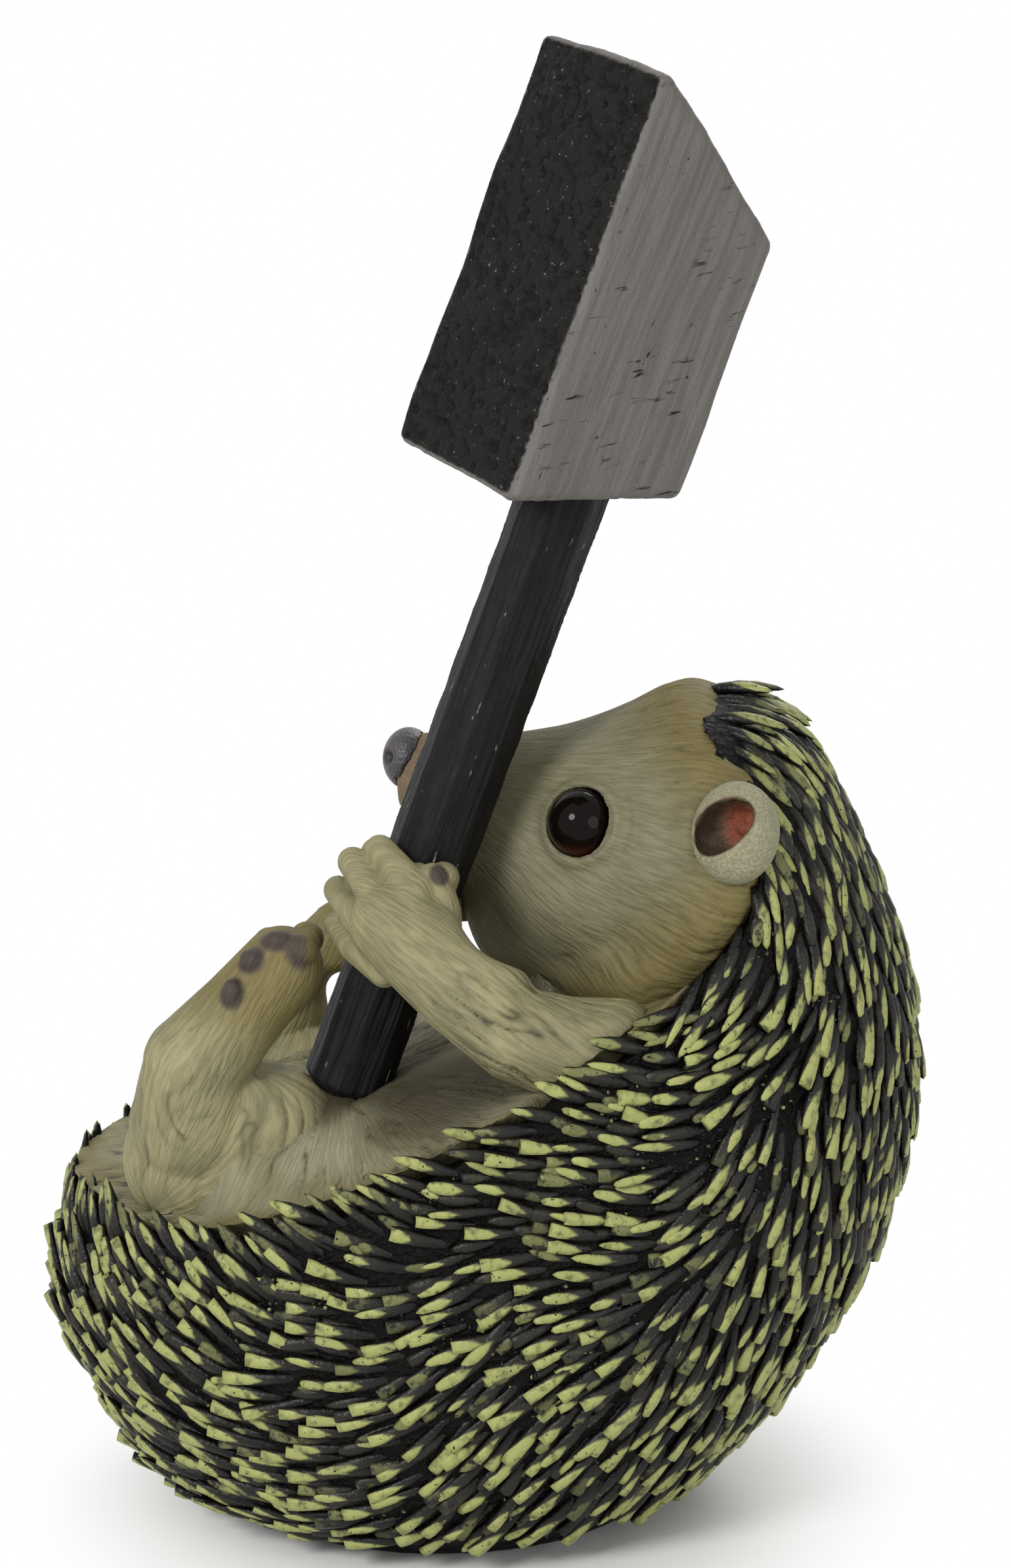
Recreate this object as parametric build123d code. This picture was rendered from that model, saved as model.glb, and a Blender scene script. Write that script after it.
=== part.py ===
from build123d import *
import math
import os

# Hedgehog figurine, cold-cast resin, lying curled on its back and holding a mallet upright.
# Millimetres. +Z up, the animal's plane of symmetry is XZ, its snout points to -X and its
# left side to -Y. The origin is the middle of the flat ground face.

# Quilled coat: level rings of its outside, as height, middle along X, half length, half width
GROUND_RING = (0.0, -6.5, 32.0, 28.0)
BOWL_RINGS = [
    (6.0, -7.5, 43.3, 37.0),
    (16.0, -6.5, 52.3, 42.5),
    (30.0, -5.0, 60.8, 46.0),
    (46.0, -1.0, 64.5, 47.5),
    (62.0, 3.5, 64.0, 47.5),
]
HOOD_RINGS = [
    (78.0, 10.5, 57.5, 46.0),
    (94.0, 18.7, 45.7, 41.5),
    (108.0, 26.0, 33.2, 34.0),
    (120.0, 31.8, 21.0, 24.5),
    (127.5, 34.5, 11.0, 15.5),
]
CROWN_TOP = (35.0, 131.2)
COAT_WALL = 6.0
HOOD_FLOOR = 88.0
# Rim of the coat in side view, from the tail to the crown, as X and height
SLAB_REACH = 80.0
RIM_POINTS = [
    (-78.0, 48.0), (-58.0, 54.0), (-42.0, 53.0), (-25.0, 58.0), (-5.0, 67.0), (15.0, 79.0),
    (33.0, 92.0), (43.5, 106.0), (42.0, 118.0), (37.0, 126.0), (31.0, 134.0),
]
# Plug in the ground face, which closes the hole that the casting was hollowed through
PLUG_DIAMETER = 26.0
PLUG_THICKNESS = 3.0
PLUG_LEDGE = 3.0
PLUG_RECESS = 0.5
PLUG_FIT = 0.1
CUT_MARGIN = 1.0

# Quills of the coat: four-sided spikes that lie back along it, round the centre of its curl
QUILL_LENGTH = 11.5
QUILL_WIDTH = 4.0
QUILL_LIFT = 12.0
CROWN_QUILL_LIFT = 3.0
CROWN_START = 106.0
QUILL_SINK = 1.1
QUILL_FIRST_ROW = 7.0
QUILL_GROUND_GAP = 1.0
QUILL_ROW_STEP = 7.6
QUILL_STEP = 8.2
QUILL_RIM_MARGIN = 1.4
QUILL_OVERHANG = 2.5
CURL_CENTRE = (12.0, 95.0)
# Rise between the two heights that give the coat's slope at a quill
NORMAL_STEP = 0.5

# Belly: furred stopper that closes the coat, domed on top
BELLY_FLOOR = 38.0
BELLY_TOP = (-22.0, 70.5)
BELLY_TILT = 20.5
BELLY_DOME = (103.0, 96.0, 60.0)
CHEST_CENTRE = (33.0, 0.0, 83.0)
CHEST_RADII = (25.0, 37.0, 15.0)
GLUE_LINE = 0.15
# Haunches: where the belly swells up round the foot of each leg and out over the coat's rim
HAUNCH_CENTRE = (-38.5, 25.0, 58.0)
HAUNCH_RADII = (16.0, 15.0, 12.5)
HAUNCH_INSET = 1.5

# Head: upright rings across X, as X, middle height, half width, half height
HEAD_RINGS = [
    (-12.0, 115.6, 3.6, 4.6),
    (-8.0, 114.0, 6.4, 8.2),
    (-1.0, 108.2, 9.0, 13.8),
    (8.0, 104.0, 14.0, 18.8),
    (18.0, 103.3, 20.0, 22.0),
    (29.0, 105.0, 24.4, 24.6),
    (40.0, 104.5, 24.6, 22.0),
    (48.0, 103.5, 20.0, 17.0),
]
NOSE_CENTRE = (-10.6, 118.2)
NOSE_RADII = (4.0, 4.8, 4.8)
EYE_DIAMETER = 10.4
EYE_CENTRE = (17.4, 15.6, 112.3)
EYE_FIT = 0.05
EAR_CENTRE = (41.0, 27.0, 114.0)
EAR_RADII = (5.6, 6.8, 8.4)
EAR_TURN = 64.0
EAR_WALL = 1.6
EAR_CUP_SHIFT = 3.4

# Mallet: eight-sided stick from the belly to the block on top
STICK_FOOT = (-18.5, -19.0, 70.5)
STICK_NECK = (13.7, -12.5, 160.0)
STICK_ACROSS = 12.4
STICK_CHAMFER = 1.6
STICK_IN_BLOCK = 24.0
STICK_FIT = 0.15
BLOCK_FACE_HEIGHT = 64.5
BLOCK_WIDTH = 30.0
BLOCK_DEPTH = 30.5
BLOCK_TOP_DROP = 18.5
BLOCK_BOTTOM_RISE = 6.8
BLOCK_STICK_DEPTH = 21.6
BLOCK_TURN = 42.0
BLOCK_EDGE_RADIUS = 1.6

# Limbs: points along each limb as X, distance from the plane of symmetry, height, radius
LEFT_ARM_RUN = [
    (-9.5, 26.5, 99.0, 6.6), (-5.0, 29.5, 96.0, 7.0), (2.0, 32.5, 90.7, 7.4),
    (10.0, 34.5, 85.2, 7.6), (22.0, 33.5, 82.0, 9.0),
]
RIGHT_ARM_RUN = [
    (-8.0, -8.5, 99.5, 5.4), (-6.0, 4.0, 97.0, 5.4), (1.0, 17.0, 94.5, 6.0),
    (8.0, 28.0, 88.5, 7.2), (22.0, 33.5, 82.0, 9.0),
]
LEG_RUN = [
    (-40.5, 25.5, 66.5, 9.6), (-39.8, 25.5, 76.0, 8.0), (-32.4, 24.0, 84.7, 6.6),
    (-27.0, 22.5, 90.6, 6.3),
]
RIGHT_LEG_SHIFT = (3.0, 0.0, -7.0)
TOE_RADIUS = 2.6
TOE_SPREAD = 3.6
DIGIT_SHARE = 0.75
PAW_HEIGHT = 99.5
PALM_RADII = (7.0, 4.6, 8.0)
FINGER_RADIUS = 2.6
FINGER_STEP = 4.7
FINGER_COUNT = 3
FINGER_WRAP = 68.0
THUMB_RADIUS = 2.4
THUMB_TURN = 24.0
THUMB_LENGTH = 7.0

# Steel pins glued in drilled holes: low end as X, distance from the middle, height
PIN_FIT = 0.05
LIMB_PIN_DIAMETER = 3.0
ARM_PIN_FOOT = (19.0, 33.5, 64.0)
ARM_PIN_LENGTH = 18.0
LEG_PIN_FOOT = (-40.0, 25.5, 56.0)
LEG_PIN_LENGTH = 21.0
NECK_PIN_FOOT = (30.0, 0.0, 66.0)
NECK_PIN_DIAMETER = 5.0
NECK_PIN_LENGTH = 28.0
STICK_PIN_DIAMETER = 3.0
STICK_PIN_LENGTH = 18.0

# Helpers

def level_ring(ring, inset=0.0):
    """Level ellipse of a coat ring, drawn in by inset."""
    height, middle, half_length, half_width = ring
    return Pos(middle, 0, height) * Ellipse(half_length - inset, half_width - inset)


def upright_ring(ring):
    """Upright ellipse across X of a head ring."""
    along, height, half_width, half_height = ring
    plane = Plane(origin=(along, 0, height), x_dir=(0, 1, 0), z_dir=(1, 0, 0))
    return plane * Ellipse(half_width, half_height)


def ellipsoid(centre, radii):
    return Pos(*centre) * scale(Sphere(1), by=radii)


def slab_between(low, high):
    """Level slab between two heights, wider than the figurine."""
    return Pos(0, 0, (low + high) / 2) * Box(2 * SLAB_REACH, 2 * SLAB_REACH, high - low)


def limb(run, side):
    """Tapered round limb through points given as X, distance from the middle, height, radius."""
    points = [(Vector(x, side * y, z), radius) for x, y, z, radius in run]
    pieces = [Pos(*point) * Sphere(radius) for point, radius in points]
    for (start, start_radius), (end, end_radius) in zip(points, points[1:]):
        plane = Plane(origin=start, z_dir=end - start)
        length = (end - start).length
        if start_radius == end_radius:
            pieces.append(Solid.make_cylinder(start_radius, length, plane))
        else:
            pieces.append(Solid.make_cone(start_radius, end_radius, length, plane))
    return fuse(pieces)


def fuse(pieces):
    first, *rest = pieces
    return first.fuse(*rest) if rest else first


def rod(start, direction, diameter, length):
    return Solid.make_cylinder(diameter / 2, length, Plane(origin=start, z_dir=direction))


def largest(shape):
    """The biggest solid of a shape that a cut may have left in several."""
    return max(shape.solids(), key=lambda solid: solid.volume)


# Coat

def coat_envelope(inset=0.0):
    """Outside of the coat without quills, up to the crown, drawn in by inset."""
    rings = [GROUND_RING] + BOWL_RINGS + HOOD_RINGS
    if inset:
        rings = BOWL_RINGS + HOOD_RINGS
    crown_x, crown_z = CROWN_TOP
    top = Vertex(crown_x, 0, crown_z - inset)
    return loft([level_ring(ring, inset) for ring in rings] + [top])


def rim_cutter():
    """Everything above and in front of the coat's rim, as a slab right across the animal."""
    outline = RIM_POINTS + [(RIM_POINTS[0][0], RIM_POINTS[-1][1])]
    face = make_face(Polyline(*[(x, 0, z) for x, z in outline], close=True))
    return extrude(face, amount=SLAB_REACH, dir=(0, 1, 0), both=True)


def ring_at(height):
    """Middle, half length and half width of the coat at a height, between its rings."""
    rings = [GROUND_RING] + BOWL_RINGS + HOOD_RINGS
    for low, high in zip(rings, rings[1:]):
        if low[0] <= height <= high[0]:
            share = (height - low[0]) / (high[0] - low[0])
            return [low[i] + share * (high[i] - low[i]) for i in (1, 2, 3)]
    return None


def coat_point(height, turn):
    """Point of the coat's outside and its outward normal, at a turn about the upright."""
    middle, half_length, half_width = ring_at(height)
    point = Vector(middle + half_length * math.cos(turn), half_width * math.sin(turn), height)
    above, above_length, above_width = ring_at(height + NORMAL_STEP)
    higher = Vector(
        above + above_length * math.cos(turn), above_width * math.sin(turn), height + NORMAL_STEP)
    round_it = Vector(-half_length * math.sin(turn), half_width * math.cos(turn), 0)
    return point, round_it.cross(higher - point).normalized()


def cut_by_rim(along, height):
    """Whether a place in side view lies above and in front of the coat's rim."""
    outline = RIM_POINTS + [(RIM_POINTS[0][0], RIM_POINTS[-1][1])]
    inside = False
    for (x0, z0), (x1, z1) in zip(outline, outline[1:] + outline[:1]):
        if (z0 > height) != (z1 > height):
            if along < x0 + (x1 - x0) * (height - z0) / (z1 - z0):
                inside = not inside
    return inside


def quill_root(height, turn):
    """Plane of a quill's root in the coat: its Z runs along the quill, its X across the coat."""
    point, normal = coat_point(height, turn)
    centre_x, centre_z = CURL_CENTRE
    flow = Vector(point.Z - centre_z, 0, centre_x - point.X)
    flow = (flow - normal * flow.dot(normal)).normalized()
    lift = math.radians(CROWN_QUILL_LIFT if height > CROWN_START else QUILL_LIFT)
    along = flow * math.cos(lift) + normal * math.sin(lift)
    return Plane(origin=point - normal * QUILL_SINK, x_dir=along.cross(normal), z_dir=along)


def quill(root):
    """One four-sided spike that starts in the coat and lies back along the curl of the body."""
    half = QUILL_WIDTH / 2
    corners = [root.from_local_coords(Vector(x, y, 0)) for x, y in
               [(half, 0), (0, half), (-half, 0), (0, -half)]]
    tip = root.from_local_coords(Vector(0, 0, QUILL_LENGTH))
    faces = [Face(Wire.make_polygon(corners))]
    for first, second in zip(corners, corners[1:] + corners[:1]):
        faces.append(Face(Wire.make_polygon([tip, first, second])))
    return Solid(Shell(faces))


def quill_fits(along, root):
    """Whether a quill starts behind the coat's rim, clears the ground and hardly passes the rim."""
    tip = root.from_local_coords(Vector(0, 0, QUILL_LENGTH))
    return (
        tip.Z > QUILL_GROUND_GAP
        and not cut_by_rim(along - QUILL_RIM_MARGIN, root.origin.Z + QUILL_RIM_MARGIN)
        and not cut_by_rim(tip.X + QUILL_OVERHANG, tip.Z - QUILL_OVERHANG)
    )


def quill_roots():
    """Roots of the quills, in level rows that are staggered by half a step."""
    roots = []
    height = QUILL_FIRST_ROW
    row = 0
    while height < HOOD_RINGS[-1][0]:
        middle, half_length, half_width = ring_at(height)
        girth = 2 * math.pi * math.hypot(half_length, half_width) / math.sqrt(2)
        count = round(girth / QUILL_STEP)
        for index in range(count):
            turn = 2 * math.pi * (index + 0.5 * (row % 2)) / count
            along = middle + half_length * math.cos(turn)
            root = quill_root(height, turn)
            if quill_fits(along, root):
                roots.append(root)
        height += QUILL_ROW_STEP
        row += 1
    return roots


# Mallet

STICK_LINE = Vector(*STICK_NECK) - Vector(*STICK_FOOT)
STICK_DIRECTION = STICK_LINE.normalized()


def stick_plane(along=0.0):
    """Plane square to the stick; its X points to the block's back, away from the striking face."""
    right = Vector(0, 1, 0).cross(STICK_DIRECTION).normalized()
    away = STICK_DIRECTION.cross(right)
    turn = math.radians(BLOCK_TURN)
    back = right * math.cos(turn) + away * math.sin(turn)
    origin = Vector(*STICK_FOOT) + STICK_DIRECTION * along
    return Plane(origin=origin, x_dir=back, z_dir=STICK_DIRECTION)


def stick(clearance=0.0, start=0.0):
    """Eight-sided stick from its foot to its end in the block, or the bore that clears it."""
    end = STICK_LINE.length + STICK_IN_BLOCK + clearance
    corner_radius = (STICK_ACROSS / 2 + clearance) / math.cos(math.pi / 8)
    section = stick_plane(start) * RegularPolygon(corner_radius, 8)
    return extrude(section, amount=end - start, dir=STICK_DIRECTION)


def mallet_handle():
    bar = stick()
    foot_edges = bar.faces().sort_by(Axis(STICK_FOOT, STICK_DIRECTION))[0].edges()
    return chamfer(foot_edges, STICK_CHAMFER) - stick_pin(PIN_FIT)


def mallet_head():
    plane = stick_plane(STICK_LINE.length)
    side = Plane(origin=plane.origin, x_dir=plane.x_dir, z_dir=-plane.y_dir)
    front = -BLOCK_STICK_DEPTH
    back = front + BLOCK_DEPTH
    outline = [
        (front, 0), (front, BLOCK_FACE_HEIGHT),
        (back, BLOCK_FACE_HEIGHT - BLOCK_TOP_DROP), (back, BLOCK_BOTTOM_RISE),
    ]
    face = make_face(Polyline(*outline, close=True))
    block = extrude(side * face, amount=BLOCK_WIDTH / 2, both=True)
    block = fillet(block.edges(), BLOCK_EDGE_RADIUS)
    return block - stick(STICK_FIT)


# Steel pins

def leg_shift(side):
    """How far the leg of a side lies from the left one's place."""
    return RIGHT_LEG_SHIFT if side > 0 else (0.0, 0.0, 0.0)


def limb_pin(foot, length, side, clearance=0.0):
    along, aside, height = foot
    start = Vector(along, side * aside, height - clearance)
    return rod(start, Vector(0, 0, 1), LIMB_PIN_DIAMETER + 2 * clearance, length + 2 * clearance)


def arm_pin(side, clearance=0.0):
    return limb_pin(ARM_PIN_FOOT, ARM_PIN_LENGTH, side, clearance)


def leg_pin(side, clearance=0.0):
    return Pos(*leg_shift(side)) * limb_pin(LEG_PIN_FOOT, LEG_PIN_LENGTH, side, clearance)


def neck_pin(clearance=0.0):
    along, aside, height = NECK_PIN_FOOT
    start = Vector(along, aside, height - clearance)
    diameter = NECK_PIN_DIAMETER + 2 * clearance
    return rod(start, Vector(0, 0, 1), diameter, NECK_PIN_LENGTH + 2 * clearance)


def stick_pin(clearance=0.0):
    start = Vector(*STICK_FOOT) - STICK_DIRECTION * (STICK_PIN_LENGTH / 2 + clearance)
    diameter = STICK_PIN_DIAMETER + 2 * clearance
    return rod(start, STICK_DIRECTION, diameter, STICK_PIN_LENGTH + 2 * clearance)


# Coat and plug

def plug(clearance=0.0):
    start = Vector(GROUND_RING[1], 0, PLUG_RECESS)
    up = Vector(0, 0, 1)
    return rod(start, up, PLUG_DIAMETER + 2 * clearance, PLUG_THICKNESS)


def plain_coat():
    """The coat without its quills: a bowl that is hollow below the hood."""
    hole_foot = Vector(GROUND_RING[1], 0, -CUT_MARGIN)
    up = Vector(0, 0, 1)
    hole = rod(hole_foot, up, PLUG_DIAMETER - 2 * PLUG_LEDGE, COAT_WALL + 2 * CUT_MARGIN)
    seat_depth = CUT_MARGIN + PLUG_RECESS + PLUG_THICKNESS
    seat = rod(hole_foot, up, PLUG_DIAMETER + 2 * PLUG_FIT, seat_depth)
    hollow = coat_envelope(COAT_WALL) & slab_between(0, HOOD_FLOOR)
    return largest(coat_envelope() - rim_cutter() - hollow - hole - seat - head_form())


def quill_coat(coat):
    return largest(coat.fuse(*[quill(root) for root in quill_roots()]))


# Belly

def belly_dome():
    """Flattened ball whose top is the belly's skin, tilted up towards the chest."""
    tilt = math.radians(BELLY_TILT)
    top_x, top_z = BELLY_TOP
    drop = BELLY_DOME[2]
    centre = (top_x + drop * math.sin(tilt), 0, top_z - drop * math.cos(tilt))
    return Pos(*centre) * Rot(0, -BELLY_TILT, 0) * scale(Sphere(1), by=BELLY_DOME)


def haunches():
    """Swellings round the feet of the legs, as far as they lie above the coat's rim."""
    swellings = []
    for side in (-1, 1):
        along, aside, height = HAUNCH_CENTRE
        swelling = ellipsoid((along, side * aside, height), HAUNCH_RADII)
        swellings.append(Pos(*leg_shift(side)) * swelling)
    above_rim = Pos(0, 0, GLUE_LINE) * rim_cutter()
    return fuse(swellings) & coat_envelope(HAUNCH_INSET) & above_rim


def belly(head):
    inside = coat_envelope(COAT_WALL + GLUE_LINE) & slab_between(BELLY_FLOOR, HOOD_FLOOR - GLUE_LINE)
    block = inside & belly_dome().fuse(ellipsoid(CHEST_CENTRE, CHEST_RADII))
    block = block.fuse(*haunches().solids())
    block = block - head - stick(STICK_FIT) - stick_pin(PIN_FIT) - neck_pin(PIN_FIT)
    for side in (-1, 1):
        block = block - arm_pin(side, PIN_FIT) - leg_pin(side, PIN_FIT)
    return largest(block)


# Head

def head_form():
    return loft([upright_ring(ring) for ring in HEAD_RINGS])


def eye_ball(side, clearance=0.0):
    along, aside, height = EYE_CENTRE
    return Pos(along, side * aside, height) * Sphere(EYE_DIAMETER / 2 + clearance)


def nose_form():
    along, height = NOSE_CENTRE
    return ellipsoid((along, 0, height), NOSE_RADII)


def head():
    form = head_form() - neck_pin(PIN_FIT)
    for side in (-1, 1):
        form = form - eye_ball(side, EYE_FIT)
    return largest(form)


def nose():
    return largest(nose_form() - head_form())


def ear(side, coat):
    along, aside, height = EAR_CENTRE
    turn = math.radians(EAR_TURN)
    opening = Vector(-math.cos(turn), side * math.sin(turn), 0)
    frame = Plane(origin=(along, side * aside, height), x_dir=opening, z_dir=(0, 0, 1))
    shell = scale(Sphere(1), by=EAR_RADII)
    cup_radii = tuple(radius - EAR_WALL for radius in EAR_RADII)
    cup = Pos(EAR_CUP_SHIFT, 0, 0) * scale(Sphere(1), by=cup_radii)
    return largest(frame * (shell - cup) - head_form() - coat)


# Limbs

def paw(side):
    """Closed paw round the stick: palm outside, fingers round the front, thumb up the back."""
    rise = (PAW_HEIGHT - STICK_FOOT[2]) / STICK_DIRECTION.Z
    middle = Vector(*STICK_FOOT) + STICK_DIRECTION * rise
    outward = Vector(0, side, 0)
    outward = (outward - STICK_DIRECTION * outward.dot(STICK_DIRECTION)).normalized()
    forward = STICK_DIRECTION.cross(outward) * side
    reach = STICK_ACROSS / 2 + FINGER_RADIUS * DIGIT_SHARE

    def place(turn, level):
        angle = math.radians(turn)
        around = outward * math.cos(angle) + forward * math.sin(angle)
        return middle + around * reach + STICK_DIRECTION * level

    palm_frame = Plane(origin=place(0, 0), x_dir=outward, z_dir=STICK_DIRECTION)
    pieces = [palm_frame * scale(Sphere(1), by=PALM_RADII)]
    for index in range(FINGER_COUNT):
        level = (index - (FINGER_COUNT - 1) / 2) * FINGER_STEP
        section = Plane(origin=place(0, level), x_dir=outward, z_dir=forward)
        axis = Axis(middle, STICK_DIRECTION * side)
        pieces.append(revolve(section * Circle(FINGER_RADIUS), axis, revolution_arc=FINGER_WRAP))
        pieces.append(Pos(*place(FINGER_WRAP, level)) * Sphere(FINGER_RADIUS))
    thumb_root = place(-THUMB_TURN, 0)
    thumb_tip = place(-THUMB_TURN, THUMB_LENGTH)
    pieces.append(rod(thumb_root, STICK_DIRECTION, 2 * THUMB_RADIUS, THUMB_LENGTH))
    pieces.append(Pos(*thumb_tip) * Sphere(THUMB_RADIUS))
    return fuse(pieces)


def arm(side, others):
    run = LEFT_ARM_RUN if side < 0 else RIGHT_ARM_RUN
    form = limb(run, side).fuse(paw(side)) - stick(STICK_FIT) - arm_pin(side, PIN_FIT)
    for other in others:
        form = form - other
    return largest(form)


def leg(side, others):
    form = limb(LEG_RUN, side)
    ankle = Vector(*LEG_RUN[-2][:3])
    foot = Vector(*LEG_RUN[-1][:3])
    radius = LEG_RUN[-1][3]
    ahead = (foot - ankle).normalized()
    for spread in (-TOE_SPREAD, 0.0, TOE_SPREAD):
        toe = foot + ahead * radius * DIGIT_SHARE + Vector(0, spread, 0)
        form = form.fuse(Pos(toe.X, side * toe.Y, toe.Z) * Sphere(TOE_RADIUS))
    form = Pos(*leg_shift(side)) * form - leg_pin(side, PIN_FIT)
    for other in others:
        form = form - other
    return largest(form)


# The whole figurine

def make_all():
    head_block = head_form()
    coat = plain_coat()
    belly_block = belly(head_block)
    nodes = {
        "quill_coat": quill_coat(coat),
        "base_plug": plug(),
        "belly": belly_block,
        "head": head(),
        "nose": nose(),
        "neck_pin": neck_pin(),
        "mallet_handle": mallet_handle(),
        "mallet_head": mallet_head(),
        "handle_pin": stick_pin(),
    }
    for name, side in (("left", -1), ("right", 1)):
        nodes[name + "_eye"] = eye_ball(side)
        nodes[name + "_ear"] = ear(side, coat)
        nodes[name + "_arm"] = arm(side, (coat, belly_block, head_block))
        nodes[name + "_leg"] = leg(side, (coat, belly_block))
        nodes[name + "_arm_pin"] = arm_pin(side)
        nodes[name + "_leg_pin"] = leg_pin(side)
    return nodes


os.makedirs("parts", exist_ok=True)
for node_name, node_shape in make_all().items():
    export_step(node_shape, "parts/" + node_name + ".step")
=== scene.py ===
"""Looks of a cast resin hedgehog ornament that lies curled on its back and holds a mallet."""
import itertools
import math

import bmesh
import bpy
import numpy as np
from mathutils import Matrix, Vector


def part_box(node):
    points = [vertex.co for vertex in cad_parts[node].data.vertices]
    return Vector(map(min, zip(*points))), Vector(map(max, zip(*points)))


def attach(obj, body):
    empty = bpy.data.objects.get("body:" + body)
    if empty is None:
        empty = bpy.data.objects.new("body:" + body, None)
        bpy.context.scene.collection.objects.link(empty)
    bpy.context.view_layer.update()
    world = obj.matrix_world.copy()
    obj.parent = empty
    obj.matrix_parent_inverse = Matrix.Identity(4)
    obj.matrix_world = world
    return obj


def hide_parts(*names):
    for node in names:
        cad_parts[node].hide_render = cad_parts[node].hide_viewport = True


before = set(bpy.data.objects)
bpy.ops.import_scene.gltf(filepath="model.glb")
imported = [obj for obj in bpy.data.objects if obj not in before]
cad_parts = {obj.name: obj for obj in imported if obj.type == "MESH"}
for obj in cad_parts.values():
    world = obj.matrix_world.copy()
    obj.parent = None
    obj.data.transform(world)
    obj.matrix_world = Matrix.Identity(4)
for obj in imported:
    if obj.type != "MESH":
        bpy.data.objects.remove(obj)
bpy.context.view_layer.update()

bl_info = {
    "name": "Hedgehog figurine",
    "version": (1, 0, 0),
    "blender": (4, 5, 0),
    "location": "View3D > Sidebar > Hedgehog",
    "description": "Builds the fur, quills, paint and mallet of a cast resin hedgehog ornament",
    "category": "Add Mesh",
}

MM = 0.001
BODY = "root"
# Sides of the body along Y
LEFT = -1
RIGHT = 1
SIDES = ((LEFT, "left_"), (RIGHT, "right_"))

# Coat: level rings of its outside as height, middle along X, half length, half width, in mm
COAT_RINGS = [
    (0.0, -6.5, 32.0, 28.0), (6.0, -7.5, 43.3, 37.0), (16.0, -6.5, 52.3, 42.5),
    (30.0, -5.0, 60.8, 46.0), (46.0, -1.0, 64.5, 47.5), (62.0, 3.5, 64.0, 47.5),
    (78.0, 10.5, 57.5, 46.0), (94.0, 18.7, 45.7, 41.5), (108.0, 26.0, 33.2, 34.0),
    (120.0, 31.8, 21.0, 24.5), (127.5, 34.5, 11.0, 15.5), (131.2, 35.0, 0.6, 0.6),
]
# Rim of the coat in side view, from the tail to the crown, as X and height in mm
RIM_LINE = [
    (-78.0, 48.0), (-58.0, 54.0), (-42.0, 53.0), (-25.0, 58.0), (-5.0, 67.0), (15.0, 79.0),
    (33.0, 92.0), (43.5, 106.0), (42.0, 118.0), (37.0, 126.0), (31.0, 134.0),
]
# Places on the coat in side view, as X and height in mm, and the turn in degrees of the way that
# the quills point there, from the front upward
QUILL_LEAN = [
    (38, 124, 318), (48, 114, 290), (52, 104, 257), (42, 97, 232), (43, 88, 198), (31, 85, 166),
    (26, 75, 168), (37, 72, 166), (43, 71, 226), (51, 70, 264), (58, 60, 264), (25, 60, 170),
    (14, 65, 178), (-4, 62, 150), (-17, 57, 148), (-30, 51, 128), (-42, 50, 134), (-55, 51, 107),
    (7, 47, 210), (5, 33, 226), (12, 15, 226), (30, 22, 226), (48, 42, 244), (-12, 43, 172),
    (-10, 28, 186), (-28, 18, 170), (-34, 41, 148), (-58, 30, 132), (-66, 34, 112),
]
# Distance in mm over which the turns of neighbouring places blend
LEAN_BLEND = 4.0
# Middle line of the mallet's stick, in mm, and the turn of its block about that line in degrees
STICK_FOOT = np.array((-18.5, -19.0, 70.5))
STICK_NECK = np.array((13.7, -12.5, 160.0))
BLOCK_TURN = 42.0


# Colours and sizes that a user would change

def linear(code):
    """Linear colour of an sRGB hex code."""
    channels = [int(code[i:i + 2], 16) / 255 for i in (1, 3, 5)]
    return tuple(c / 12.92 if c <= 0.04045 else ((c + 0.055) / 1.055) ** 2.4 for c in channels)


def colour_property(name, description, code):
    return bpy.props.FloatVectorProperty(
        name=name, description=description, subtype="COLOR", size=3, min=0, max=1,
        default=linear(code))


def length_property(name, description, millimetres):
    return bpy.props.FloatProperty(
        name=name, description=description, unit="LENGTH", min=0, default=millimetres * MM)


class HedgehogSizes(bpy.types.PropertyGroup):
    """Sizes of the modelled surface."""
    quill_length: length_property("Quill length", "Mean length of a quill", 11.2)
    quill_width: length_property("Quill width", "Mean width of a quill", 2.25)
    quill_step: length_property("Quill step", "Distance between quills in a line", 5.3)
    quill_gap: length_property("Quill gap", "Distance between quills side by side", 2.1)
    grit_size: length_property("Grit size", "Largest grain of grit between the quills", 0.8)
    lock_spacing: length_property("Lock spacing", "Width of a lock of fur on the body", 1.5)
    hair_spacing: length_property("Hair spacing", "Width of a hair in the fur", 0.75)
    lock_depth: length_property("Lock depth", "Depth of the grooves between locks", 0.42)
    face_depth: length_property("Face depth", "Depth of the grooves in the face", 0.18)
    fur_voxel: length_property("Fur voxel", "Mesh step of the furred pieces", 0.38)


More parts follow.
